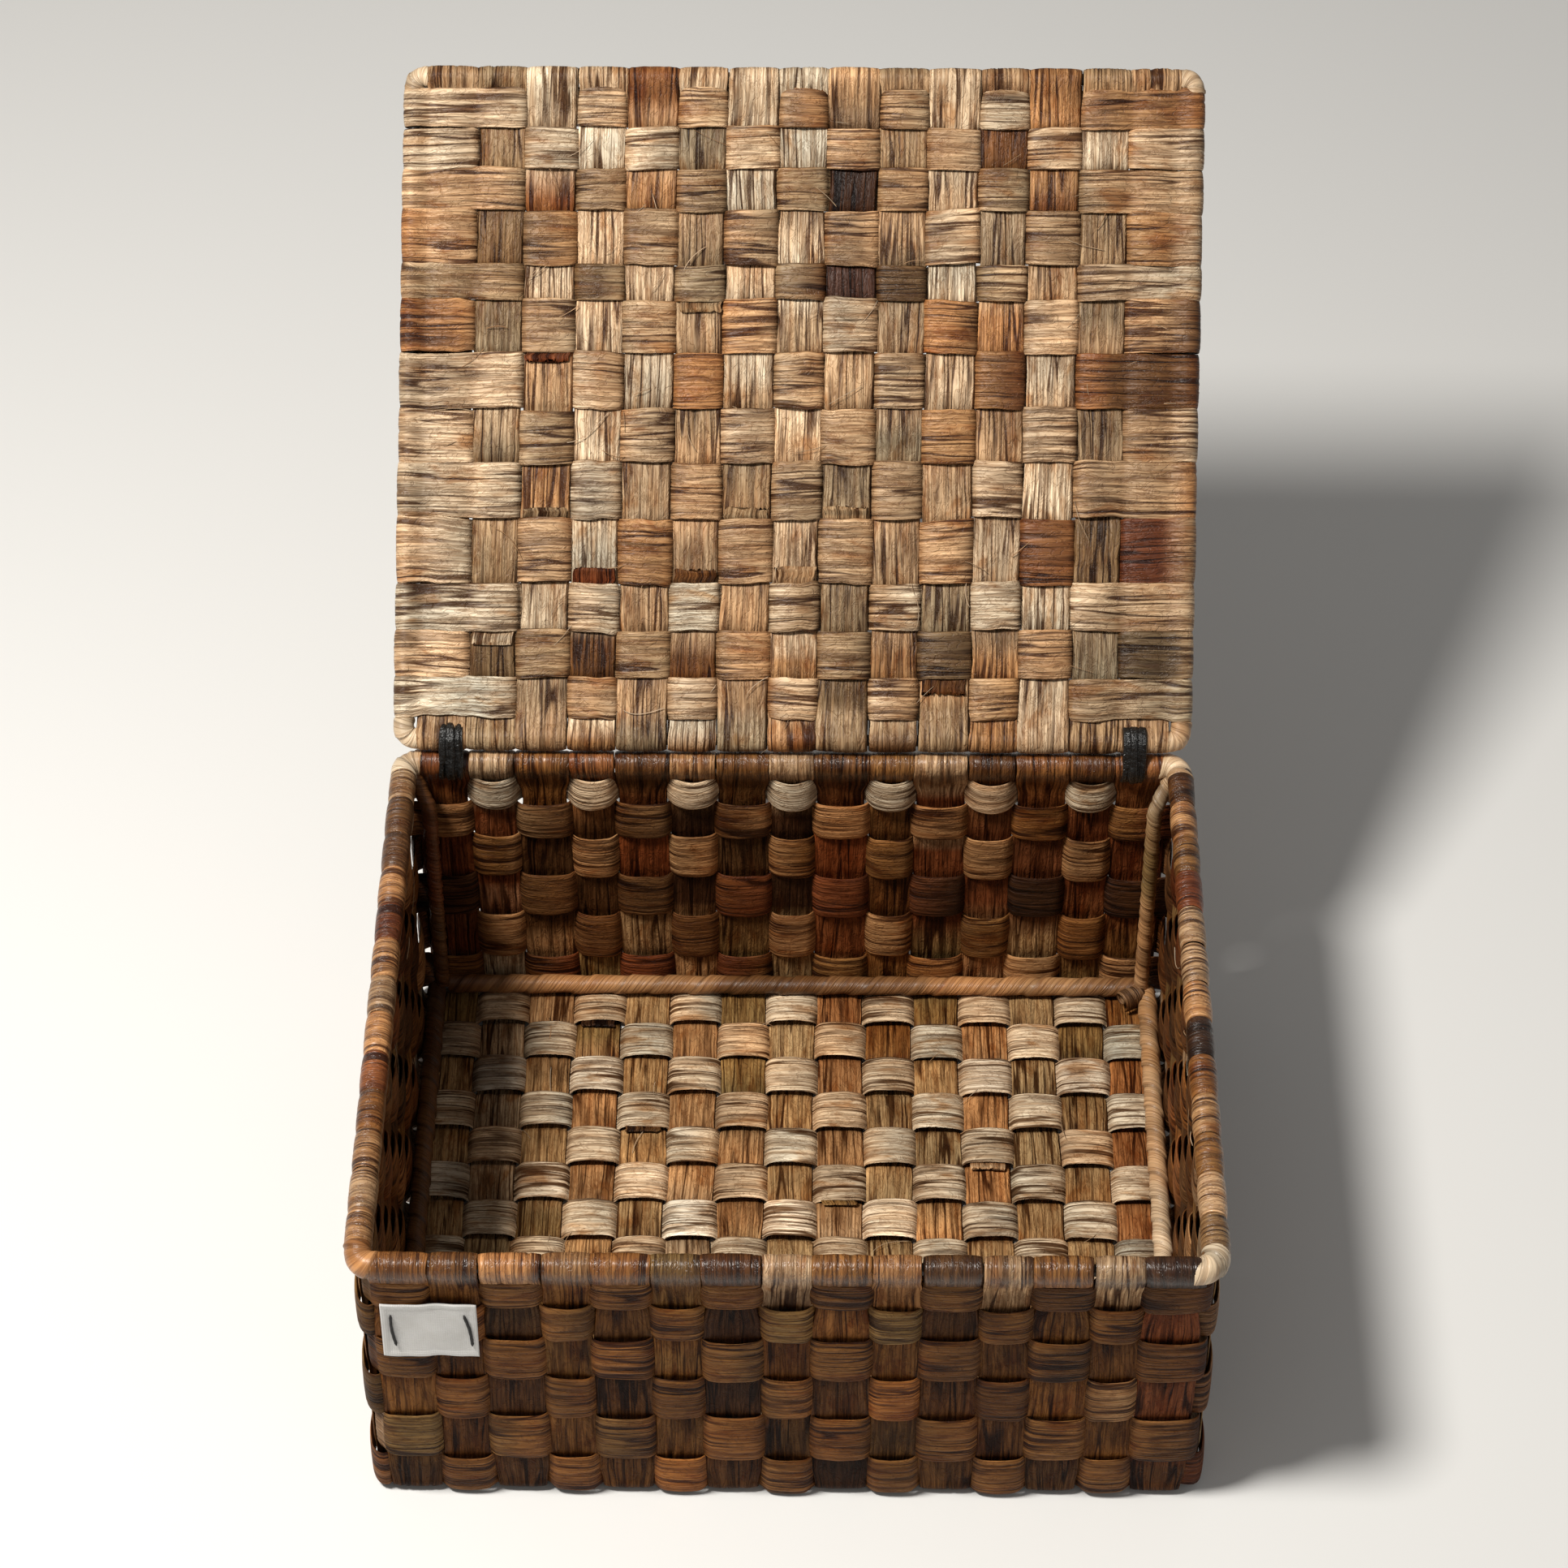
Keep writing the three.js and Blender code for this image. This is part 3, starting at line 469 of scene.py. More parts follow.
def level_line(tree, value, middle, inner, outer):
    """1 on the line where the noise has the middle value, 0 further off."""
    away = maths(tree, "ABSOLUTE", maths(tree, "SUBTRACT", value, middle))
    return remap(tree, away, inner, outer, 1.0, 0.0)


def new_material(name):
    material = bpy.data.materials.new(name)
    material.use_nodes = True
    tree = material.node_tree
    return material, tree, tree.nodes["Principled BSDF"]


def strip_map(tree):
    return node(tree, "ShaderNodeUVMap", uv_map="Strip").outputs[0]


def toned(tree, layers):
    """The vertices' tone under layers that multiply it, each a factor and a shade; and their gloss."""
    # The Tone attribute already holds the painted shade and painted highlight worked into the strips' colour.
    tone = node(tree, "ShaderNodeAttribute", attribute_name="Tone")
    colour = tone.outputs["Color"]
    for factor, shade in layers:
        colour = blend(tree, factor, colour, shade, "MULTIPLY")
    return colour, tone.outputs["Alpha"]


def finish_shader(tree, shader, colour, rough, height, distance, specular=0.5, strength=BUMP_STRENGTH):
    """Joins a colour, a roughness, a height and a strength of reflection to the shader."""
    bump = node(tree, "ShaderNodeBump", [("Strength", strength), ("Distance", distance), ("Height", height)])
    fill(tree, shader, [("Base Color", colour), ("Roughness", rough), ("Normal", bump.outputs[0]),
                        ("Specular IOR Level", specular)])


def strip_material(name):
    """Dried flattened stem: streaks, long fibres, stains and specks over its tone, a painted highlight in
    pale blotches, and painted shade in its splits, threads and crinkles.
    """
    material, tree, shader = new_material(name)
    uv = strip_map(tree)
    streaks = grain(tree, uv, 9, 260, 2.0, 0.5, 2.3, 0.5)
    fibres = grain(tree, uv, 60, 1300, 4.0, 0.7)
    threads = grain(tree, uv, 26, 620, 2.0, 0.5, 3.1, 0.3)
    splits = grain(tree, uv, 13, 240, 2.0, 0.5, 7.7, 0.4)
    crinkle = grain(tree, uv, 120, 330, 3.0, 0.6, 4.4, 0.9)
    blotch = grain(tree, uv, 45, 110, 3.0, 0.65, 1.3, 0.4)
    speck = grain(tree, uv, 420, 900, 2.0, 0.5, 5.2)
    torn = remap(tree, grain(tree, uv, 22, 80, 1.0, 0.5, 9.1), 0.42, 0.56, 0.3, 1.0)
    split_line = maths(tree, "MULTIPLY", level_line(tree, splits, 0.5, 0.022, 0.056), torn)
    split_slope = maths(tree, "MULTIPLY", level_line(tree, splits, 0.5, 0.0, 0.13), torn)
    thread_line = level_line(tree, threads, 0.47, 0.022, 0.080)
    crinkle_line = level_line(tree, crinkle, 0.5, 0.0, 0.055)
    colour, gloss = toned(tree, [
        (1.0, grey(tree, remap(tree, fibres, 0.3, 0.7, 0.72, 1.20))),
        (remap(tree, streaks, 0.47, 0.30, 0.0, 0.7), (0.88, 0.76, 0.64, 1)),
        (remap(tree, streaks, 0.53, 0.72, 0.0, 0.7), (1.10, 1.10, 1.09, 1)),
        (remap(tree, blotch, 0.54, 0.66, 0.0, 0.85), (0.62, 0.43, 0.27, 1)),
        # Pale, less saturated blotches: a painted highlight.
        (remap(tree, blotch, 0.45, 0.30, 0.0, 0.8), (1.26, 1.30, 1.36, 1)),
        # Painted shade in the grooves of the splits, threads and crinkles.
        (maths(tree, "MULTIPLY", split_line, 0.97), (0.15, 0.09, 0.05, 1)),
        (maths(tree, "MULTIPLY", thread_line, 0.68), (0.40, 0.29, 0.20, 1)),
        (maths(tree, "MULTIPLY", crinkle_line, 0.45), (0.42, 0.31, 0.22, 1)),
        (remap(tree, speck, 0.67, 0.73, 0.0, 0.7), (0.35, 0.25, 0.18, 1)),
    ])
    height = maths(tree, "MULTIPLY_ADD", fibres, 0.22, maths(tree, "MULTIPLY", crinkle, 0.95))
    for line, rise in ((split_slope, -0.50), (thread_line, -0.20), (crinkle_line, -0.20)):
        height = maths(tree, "MULTIPLY_ADD", line, rise, height)
    smooth = maths(tree, "MULTIPLY", gloss, 0.22)
    rough = maths(tree, "SUBTRACT", remap(tree, fibres, 0.3, 0.7, 0.60, 0.48), smooth)
    shine = maths(tree, "MULTIPLY_ADD", gloss, 0.48, 0.06)
    finish_shader(tree, shader, colour, rough, height, 0.0009, shine)
    return material


def wound_material(name):
    """The same stems wound round a rod: the UV map slants, so that a fibre keeps its first coordinate."""
    material, tree, shader = new_material(name)
    uv = strip_map(tree)
    fibres = grain(tree, uv, 1400, 60, 4.0, 0.65)
    threads = grain(tree, uv, 560, 24, 2.0, 0.5, 3.1)
    blotch = grain(tree, uv, 120, 60, 3.0, 0.6, 1.3)
    thread_line = level_line(tree, threads, 0.5, 0.015, 0.07)
    colour, gloss = toned(tree, [
        (1.0, grey(tree, remap(tree, fibres, 0.3, 0.7, 0.80, 1.16))),
        (remap(tree, blotch, 0.55, 0.74, 0.0, 0.7), (0.62, 0.46, 0.34, 1)),
        # Painted shade in the grooves of the threads.
        (maths(tree, "MULTIPLY", thread_line, 0.60), (0.5, 0.4, 0.32, 1)),
    ])
    height = maths(tree, "MULTIPLY_ADD", thread_line, -0.3, maths(tree, "MULTIPLY", fibres, 0.5))
    smooth = maths(tree, "MULTIPLY", gloss, 0.18)
    rough = maths(tree, "SUBTRACT", remap(tree, fibres, 0.3, 0.7, 0.56, 0.46), smooth)
    finish_shader(tree, shader, colour, rough, height, 0.0006, 0.42)
    return material


def plain_material(name, colour, roughness, scale, contrast, distance, specular=0.5):
    """A material with a fine mottle of its colour and surface, from object coordinates."""
    material, tree, shader = new_material(name)
    place = node(tree, "ShaderNodeTexCoord").outputs["Object"]
    inputs = [("Vector", place), ("Scale", scale), ("Detail", 4.0), ("Roughness", 0.6)]
    mottle = node(tree, "ShaderNodeTexNoise", inputs).outputs[0]
    dark, light = ([*(c * change for c in colour), 1] for change in (1 - contrast, 1 + contrast))
    mixed = blend(tree, remap(tree, mottle, 0.3, 0.7), dark, light)
    rough = remap(tree, mottle, 0.3, 0.7, roughness + 0.06, roughness - 0.06)
    finish_shader(tree, shader, mixed, rough, mottle, distance, specular)
    return material


def cloth_material(name):
    """Pale woven label cloth: crossed threads in colour and height."""
    material, tree, shader = new_material(name)
    uv = strip_map(tree)
    warp, weft = (node(tree, "ShaderNodeTexWave", [("Vector", uv), ("Scale", 380.0), ("Distortion", 0.6)],
                       bands_direction=way).outputs[1] for way in "XY")
    threads = maths(tree, "MULTIPLY", warp, weft)
    soil = grain(tree, uv, 120, 120, 3.0, 0.6)
    colour = blend(tree, remap(tree, soil, 0.35, 0.7, 0.0, 0.6), (0.66, 0.65, 0.63, 1), (0.54, 0.52, 0.49, 1))
    colour = blend(tree, maths(tree, "MULTIPLY", threads, 0.25), colour, (0.78, 0.77, 0.75, 1))
    finish_shader(tree, shader, colour, 0.85, threads, 0.0002, strength=0.5)
    shader.inputs["Sheen Weight"].default_value = 0.2
    return material


STRIP_MATERIAL = strip_material("hyacinth")
WOUND_MATERIAL = wound_material("wound_hyacinth")
ROD_MATERIAL = plain_material("painted_rod", (0.030, 0.024, 0.019), 0.45, 900, 0.3, 0.0001)
TIE_MATERIAL = plain_material("black_tie", (0.010, 0.0095, 0.009), 0.26, 420, 0.35, 0.0014, 0.6)
THREAD_MATERIAL = plain_material("black_thread", (0.012, 0.011, 0.011), 0.7, 2500, 0.4, 0.0002)
CLOTH_MATERIAL = cloth_material("label_cloth")


# The strips of the basket

def spots(count, pitch):
    return [(n - (count - 1) / 2) * pitch for n in range(count)]


def rows(edges):
    """The middle and the half width of each row between two edges."""
    return [((far + near) / 2, (far - near) / 2) for far, near in zip(edges, edges[1:])]


LONG_X = spots(LONG_COUNT, LONG_PITCH)
CROSS_Y = spots(CROSS_COUNT, CROSS_PITCH)
ROWS = rows(ROW_EDGES)
LID_ROWS = rows(LID_ROW_EDGES)

# Heights, and a strip's half width at each
ODD_WIDTHS = ([4, 14, 100, 110, 117, 122], [FLOOR_HALF, 10.8, 10.8, 9.4, 9.4, 11.0])
EVEN_WIDTHS = ([4, 14, 84, 106, 124], [FLOOR_HALF, 9.2, 9.2, 9.0, 9.1])
CROSS_WIDTHS = ([4, 14, 104, 124], [9.2, 9.85, 9.85, 9.7])

# What shows of each long strip: its front roll, front wall, floor, back wall and back roll
# The words are partly the stems' own colours and partly painted light: darker on the front and back walls,
# which stand in shade, and a lighter hay on the lit floor.
LONG_TONES = [
    "toffee bark umber hay hay olive rust toffee", "toffee walnut umber hay tan tan rust tan",
    "honey umber dark olive hay honey umber toffee", "honey bark walnut hay honey olive umber orange",
    "toffee umber walnut hay hay hay rust brown", "olive bark walnut tan honey honey dark honey",
    "umber dark umber hay honey olive umber toffee", "sand walnut bark hay hay hay dark tan",
    "toffee umber dark tan honey orange rust brown", "honey bark walnut hay hay toffee umber toffee",
    "brown umber walnut honey hay olive rust tan", "tan walnut umber hay honey honey rust brown",
    "toffee bark umber hay hay hay rust toffee", "tan walnut bark hay hay olive rust brown",
    "dark rust umber honey orange toffee rust orange",
]

# What shows of each cross strip: its left roll, the floor and its right roll
# The floor's words are partly the stems' own colours and partly painted light, lighter than the rolls'.
CROSS_TONES = [
    "honey sand straw sand honey", "tan cream straw cream tan", "honey sand tan sand toffee",
    "toffee sand cream straw honey", "rust straw straw cream toffee", "honey straw sand straw dark",
    "tan straw cream straw honey", "honey cream sand straw tan", "rust sand straw sand tan",
    "honey straw sand straw rust", "orange cream straw cream toffee", "brown straw sand straw honey",
    "tan sand straw sand brown",
]

# The wall rows, from the front left corner round by the right, the back and the left
# The front wall's words are partly the stems' own colours and partly painted shade for a wall that faces away
# from the light.
ROW_TONES = [
    "bark toffee bark walnut brown honey brown sand straw sand straw toffee honey olive",
    "toffee bark olive bark tan brown rust toffee honey brown honey rust toffee olive",
    "bark toffee bark walnut brown toffee umber honey toffee honey toffee brown orange brown",
    "toffee bark toffee walnut honey brown umber dark rust brown umber umber toffee olive",
    "olive toffee bark toffee brown orange brown toffee honey brown honey toffee honey sand",
    "bark toffee bark toffee rust brown umber honey toffee rust toffee orange toffee honey",
]


def upright_path(reach, inside, row_signs, floor):
    """A strip from its tail on the left rim down the wall, under the floor and up to the right rim."""
    end = rolled_end((-reach, RIM_HEIGHT), (0, 1), (-1, 0), -1 if inside else 1, RIM_TURN, RIM_TAIL)
    wall = []
    for (top, foot), sign in zip(zip(ROW_EDGES, ROW_EDGES[1:]), row_signs):
        u = -reach + 0.3 * sign
        # The third value is painted shade: darker where the strip goes behind the next row, and at its foot.
        wall += [(u, top - (6 if top == ROW_EDGES[0] else 3), 1.0), (u, foot + 3, 1.0), (-reach, foot, 0.68)]
    flare = 1.1 if row_signs[-1] < 0 else -0.3
    foot = [(-reach - flare, 5.2, 0.9), (-reach - flare + 0.9, 1.9, 0.9), (-reach + 4.0, floor[0][1], 0.9)]
    left = end[::-1] + wall[:-1] + foot
    return left + floor + [(-u, v, shade) for u, v, shade in reversed(left)]


def rim_gloss(line):
    return np.clip(0.9 + (line[:, 1] - RIM_HEIGHT) / 8, 0.02, 0.9)


def long_strip(k):
    along = np.arange(CROSS_Y[0] - CROSS_HALF, CROSS_Y[-1] + CROSS_HALF, 1.0)
    signs = alternate(k + CROSS_COUNT, CROSS_COUNT)
    level, shade = weave(along, CROSS_Y, [CROSS_HALF] * CROSS_COUNT, signs, 1.38, 0.15)
    floor = list(zip(along, LONG_LEVEL + level, shade))
    flat_ribbon(f"long_strip_{k:02d}", "basket", "strip_olive",
                upright_path(HALF_DEPTH, k % 2 == 1, alternate(k + 1, ROW_COUNT), floor),
                plane(0, LONG_X[k - 1]), (1, 0, 0), widths_at(1, *(ODD_WIDTHS if k % 2 else EVEN_WIDTHS)),
                LONG_TONES[k - 1], gloss=rim_gloss, replaced=("long_strips",), columns=BOTH_SIDES)


def cross_strip(j):
    along = np.arange(LONG_X[0] - 9, LONG_X[-1] + 9, 1.0)
    signs = alternate(CROSS_COUNT + 1 - j, LONG_COUNT)
    level, shade = weave(along, LONG_X, [FLOOR_HALF] * LONG_COUNT, signs, 0.55, 0.4)
    floor = list(zip(along, CROSS_LEVEL + np.where(level > 0, 3.3 * level, level), shade))
    left, *middle, right = CROSS_TONES[j - 1].split()
    walls = seeded(f"side_wall_{j}").choice(["bark", "toffee", "brown", "umber", "olive"], 2)
    flat_ribbon(f"cross_strip_{j:02d}", "basket", "strip_straw",
                upright_path(HALF_WIDTH, j % 2 == 0, alternate(j, ROW_COUNT), floor),
                plane(1, CROSS_Y[j - 1]), (0, 1, 0), widths_at(1, *CROSS_WIDTHS),
                " ".join([left, walls[0], *middle, walls[1], right]), gloss=rim_gloss,
                replaced=("cross_strips",), columns=BOTH_SIDES, depth=0.14)


PLACES = [("front_right", 1, -1), ("back_right", 1, 1), ("back_left", -1, 1), ("front_left", -1, -1)]


def wall_row(row):
    """A closed ring of weaving round the four walls, given by its run along the corner-rounded box.
    Each wall has an odd number of strips, so they can be counted from either end."""
    arc = ROW_BEND * math.pi / 2
    lengths = [2 * (HALF_WIDTH - ROW_BEND), 2 * (HALF_DEPTH - ROW_BEND)] * 2
    *starts, total = np.cumsum([0.0] + [length + arc for length in lengths])
    at = np.arange(0, total, STEP)
    position = np.zeros((len(at), 3))
    outward = np.zeros((len(at), 3))
    crossings = []
    for wall, (_, sx, sy) in enumerate(PLACES):
        across = wall % 2 == 0
        for n, spot in enumerate(LONG_X if across else CROSS_Y, 1):
            half = (10.6 if n % 2 else 8.8) if across else CROSS_HALF
            outside = (n + row) % 2 == wall % 2
            bulging = wall == 2 and not outside
            arch = (3.0 if row == 1 else 1.9) if bulging else 1.15
            droop = 1.5 if bulging and row == 1 else 0.0
            middle = starts[wall] + lengths[wall] / 2 + spot
            crossings.append((middle, half, 1 if outside else -1, arch, droop))
        angle = math.radians(90 * wall)
        way = np.array([math.cos(angle), math.sin(angle), 0])
        end = np.array([sx * (HALF_WIDTH - ROW_BEND), sy * (HALF_DEPTH - ROW_BEND), 0])
        past = at - starts[wall] - lengths[wall]
        here = (past >= -lengths[wall]) & (past < arc)
        past = past[here]
        swing = angle - math.pi / 2 + np.maximum(past, 0) / ROW_BEND
        outward[here] = np.stack([np.cos(swing), np.sin(swing), np.zeros_like(swing)], axis=1)
        position[here] = end + ROW_BEND * outward[here] + way * np.minimum(past, 0)[:, None]
    centres, halves, signs, arches, droops = np.array(crossings).T
    # shade is painted shade where the row dips behind an upright.
    stand, shade = weave(at, centres, halves, signs, 1.45, arches)
    sag, _ = weave(at, centres, halves, np.ones(len(centres)), 0.0, droops)
    stand = gaussian(stand, 1.4 / STEP, closed=True)
    shade = gaussian(shade, 1.0 / STEP, closed=True)
    lift = 0.45 * wander(len(at), 40, seeded(f"row_height_{row}"), closed=True)
    centre = position + outward * stand[:, None]
    height, half = ROWS[row - 1]
    centre[:, 2] = height + lift - gaussian(sag, 2.0 / STEP, closed=True)
    normal = np.cross(directions(centre * np.array([1, 1, 0]), closed=True), UP)
    ribbon(f"wall_row_strip_{row}", "basket", "strip_tan" if row % 2 else "strip_dark", centre, normal,
           (0, 0, 1), half + 0.1, ROW_TONES[row - 1], closed=True, depth=0.15, gloss=0.08, shade=shade,
           replaced=(f"wall_row_{row}",), columns=BOTH_SIDES)


# Strips wound round rods

def wound_rod(name, body, slot, axis, radius, pitch, words, replaced, lift=0.6, gloss=0.6, spin=0.0):
    """A strip wound round the line axis: each turn overlaps the one before it along a spiral seam."""
    rng = seeded(name)
    axis = gaussian(even_steps(axis, 0.5), 2.5)
    way = directions(axis)
    bend = np.cross(way[0], way[-1])
    fixed = unit(bend) if np.linalg.norm(bend) > 0.05 else UP
    if fixed[2] < 0:
        fixed = -fixed
    side = unit(np.cross(way, fixed))
    ring = max(28, int(2 * math.pi * radius / 0.8))
    share = np.arange(ring) / ring
    along = run_along(axis)
    turns = along[:, None] / pitch - share + 2 + spin + 0.10 * wander(len(axis), 30, rng)[:, None]
    part = turns - np.floor(turns)
    girth = 2 * math.pi * radius
    sample = 1.5
    columns = 20
    samples = int(turns.max() * girth / sample) + 4
    crease, dark = creases(samples, columns, pitch / 2, rng, 0.2)
    row = np.clip((turns * girth / sample).astype(int), 0, samples - 1)
    column = part * (columns - 1)
    low = np.minimum(column.astype(int), columns - 2)
    t = column - low
    height, crease_shade = (grid[row, low] * (1 - t) + grid[row, low + 1] * t for grid in (crease, dark))
    reach = radius + lift * (1 - part) * np.clip(part / 0.05, 0, 1) + height
    points = rings_round(axis, side, np.cross(side, way), reach, share * 2 * math.pi - math.pi / 2)
    # Painted shadow along the spiral seam at both edges of each turn, and painted shade in the creases.
    shadow = (0.45 + 0.55 * np.clip(part / 0.10, 0, 1)) * (0.72 + 0.28 * np.clip((1 - part) / 0.12, 0, 1))
    tone = tones_along(samples, words, rng)[row] * ((1 - 0.5 * crease_shade) * shadow)[:, :, None]
    add_swept(name, points, along + 900 * rng.uniform(), np.arange(ring + 1) / ring * girth,
              with_gloss(tone, gloss), False, body, slot, WOUND_MATERIAL, replaced, slope=pitch / girth)


WINDING_TONES = {
    "front": "brown tan brown", "right": "tan sand tan honey", "back": "brown honey brown honey brown",
    "left": "umber brown umber",
}
CORNER_TONES = {
    "front_right": "sand straw sand", "back_right": "sand straw tan", "back_left": "sand tan straw",
    "front_left": "tan honey brown",
}


def base_winding(side):
    along_x = side in ("front", "back")
    sign = -1 if side in ("front", "left") else 1
    reach = (BASE_X if along_x else BASE_Y) - 2
    ends = [(u, sign * BASE_Y, BASE_Z) if along_x else (sign * BASE_X, u, BASE_Z) for u in (-reach, reach)]
    wound_rod(f"base_winding_{side}", "basket", "wrap", ends, BASE_WINDING, 17 if along_x else 12,
              WINDING_TONES[side], (f"base_wrap_{side}",), lift=0.7)


def post_winding(place, sx, sy):
    axis = [(sx * POST_X, sy * POST_Y, BASE_Z + 3), (sx * POST_X, sy * POST_Y, RIM_HEIGHT - 16),
            (sx * (HALF_WIDTH - 3.5), sy * (HALF_DEPTH - 3.5), RIM_HEIGHT - 3)]
    words = "tan honey olive tan" if sx > 0 else "umber brown rust brown"
    wound_rod(f"post_winding_{place}", "basket", "wrap", axis, POST_WINDING, 8, words,
              (f"post_wrap_{place}",), lift=0.5)


def bend_axis(centre, first, second, reach, radius):
    """A line that comes along first, turns a right angle with that radius and leaves along second."""
    centre, first, second = (np.array(v, dtype=float) for v in (centre, first, second))
    angles = np.linspace(0, math.pi / 2, 12)
    points = [centre + radius * (first * math.sin(a) - second * math.cos(a)) for a in angles]
    return [points[0] - first * reach, *points, points[-1] + second * reach]


def rim_corner(place, sx, sy):
    centre = (sx * (HALF_WIDTH - CORNER_RADIUS), sy * (HALF_DEPTH - CORNER_RADIUS), RIM_HEIGHT)
    axis = bend_axis(centre, (sx, 0, 0), (0, -sy, 0), 2.2, CORNER_RADIUS)
    wound_rod(f"rim_corner_winding_{place}", "basket", "strip_tan", axis, RIM_WINDING, 9, CORNER_TONES[place],
              (f"rim_corner_wrap_{place}",), gloss=1.0, spin=0.3)


# The lid

# Its stems from the hinge edge to the far edge, as they show from row to row, and its rows from the
# left to the right, starting with the far one
LID_STRIP_TONES = [
    "tan brown tan",
    "grey grey slate grey grey tan grey slate grey grey grey",
    "sand tan tan sand tan honey tan orange sand orange sand sand honey",
    "straw honey brown sand straw straw sand straw sand sand straw straw sand",
    "grey grey tan tan sand tan sand sand sand honey tan orange honey",
    "straw honey brown tan tan tan grey tan grey tan grey tan sand",
    "grey grey tan tan tan grey tan straw sand straw straw sand tan",
    "sand honey honey sand sand sand straw tan straw sand straw straw sand",
    "slate grey slate grey grey grey tan tan plum dark dark tan sand",
    "tan brown honey tan tan grey tan tan grey tan grey grey tan",
    "straw grey tan grey tan tan sand sand straw sand straw sand tan",
    "honey orange honey tan sand tan tan honey tan tan brown tan brown",
    "sand sand sand straw straw straw sand straw tan orange honey honey orange",
    "grey slate grey grey slate tan grey tan grey grey straw grey tan",
    "tan brown tan",
]
LID_ROW_TONES = [
    "sand sand sand tan tan honey tan sand honey orange", "honey sand straw straw sand tan sand sand sand",
    "sand tan grey tan grey grey tan grey tan tan", "honey tan honey tan tan sand tan honey straw",
    "tan grey slate grey grey brown slate tan sand tan", "honey honey tan tan tan sand honey sand tan brown",
    "straw sand sand tan honey tan tan honey orange brown rust",
    "tan sand grey tan sand tan honey sand tan sand", "sand straw straw tan tan tan sand tan honey",
    "tan sand tan honey tan tan tan orange rust tan", "straw straw sand straw sand tan straw straw tan sand",
    "sand sand grey grey tan grey slate tan slate tan", "straw straw tan sand honey sand tan honey tan tan",
]


def lid_place(u, v, w):
    """A point of the open lid: u from the hinge rod, v off its middle to the inner face and w across."""
    u, v, w = np.broadcast_arrays(u, v, w)
    return np.stack([w + LID_LEAN * u, HINGE[1] + u * LID_UP[1] + v * LID_FACE[1],
                     HINGE[2] + u * LID_UP[2] + v * LID_FACE[2]], axis=-1)


def lid_half(k):
    return 9.95 if k % 2 else 9.5


def lid_strip(k):
    outermost = k in (1, LONG_COUNT)
    side = 1 if k % 2 == 1 and not outermost else -1
    far = rolled_end((LID_LENGTH, 0), (1, 0), (0, 1), side, LID_TURN, LID_TAIL)
    near = rolled_end((0, 0), (-1, 0), (0, 1), side, HINGE_TURN, LID_TAIL)
    along = np.arange(12, LID_LENGTH - 12, 1.5)
    signs = [-1] * LID_COUNT if outermost else alternate(k + 1, LID_COUNT)[::-1]
    level, shade = weave(along, *zip(*reversed(LID_ROWS)), signs, 0.35, 0.7)
    widths = widths_at(0, [0, 30, 230, LID_LENGTH], lid_half(k) + np.array([0.2, -0.3, -0.2, 0.3]))
    flat_ribbon(f"lid_strip_piece_{k:02d}", "lid", "strip_olive" if k % 2 else "strip_tan",
                near[::-1] + list(zip(along, level, shade)) + far,
                lambda u, v: lid_place(u, v, LONG_X[k - 1]), (1, 0, 0), widths, LID_STRIP_TONES[k - 1],
                gloss=0.35, depth=0.34, replaced=(f"lid_strip_{k:02d}",))


def lid_row(row):
    spot, half = LID_ROWS[row - 1]
    left, right = (rolled_end((sx * HALF_WIDTH, 0), (sx, 0), (0, 1), 1, LID_TURN, LID_TAIL) for sx in (-1, 1))
    along = np.arange(-HALF_WIDTH + 6, HALF_WIDTH - 6, 1.0)
    signs = [1, *alternate(row, LONG_COUNT)[1:-1], 1]
    rng = seeded(f"lid_row_tilt_{row}")
    arches = np.where(np.array(signs) > 0, 1.7, 1.0) + 0.3 * rng.normal(0, 1, LONG_COUNT)
    level, shade = weave(along, LONG_X, [lid_half(k) for k in range(1, LONG_COUNT + 1)], signs, 1.4, arches)
    tilt = (0.0035 + rng.normal(0, 0.0022)) * (1 if 1 < row < LID_COUNT else 0.3)
    knots = np.linspace(-HALF_WIDTH, HALF_WIDTH, 12)
    wave = rng.normal(0, 0.35, 12) * (1 if row < LID_COUNT else 0.3)
    pinch = 0.6 if row == LID_COUNT else 0.0     # room for the hinge ties when the lid is closed

    def narrow(x):
        return pinch * np.clip((np.abs(x) - 120) / 8, 0, 1) * np.clip((152 - np.abs(x)) / 5, 0, 1)

    flat_ribbon(f"lid_row_piece_{row:02d}", "lid", "strip_straw",
                left[::-1] + list(zip(along, level, shade)) + right,
                lambda x, v: lid_place(spot + tilt * x + np.interp(x, knots, wave) + narrow(x), v, x), LID_UP,
                lambda line: half + 0.25 - narrow(line[:, 0]), LID_ROW_TONES[row - 1], gloss=0.5, depth=0.20,
                replaced=(f"lid_row_{row:02d}",), fray=0.018)


def lid_corner(place, sx, sy):
    far = sy < 0
    centre = lid_place(LID_LENGTH - LID_CORNER if far else LID_CORNER, 0.0, sx * (HALF_WIDTH - LID_CORNER))
    axis = bend_axis(centre, (sx, 0, 0), LID_UP * (-1 if far else 1), 1.5 if far else 4.0, LID_CORNER)
    wound_rod(f"lid_corner_winding_{place}", "lid", "strip_tan", axis, LID_WINDING, 7, "grey sand tan",
              (f"lid_corner_wrap_{place}",), lift=0.5, gloss=0.4, spin=0.6)


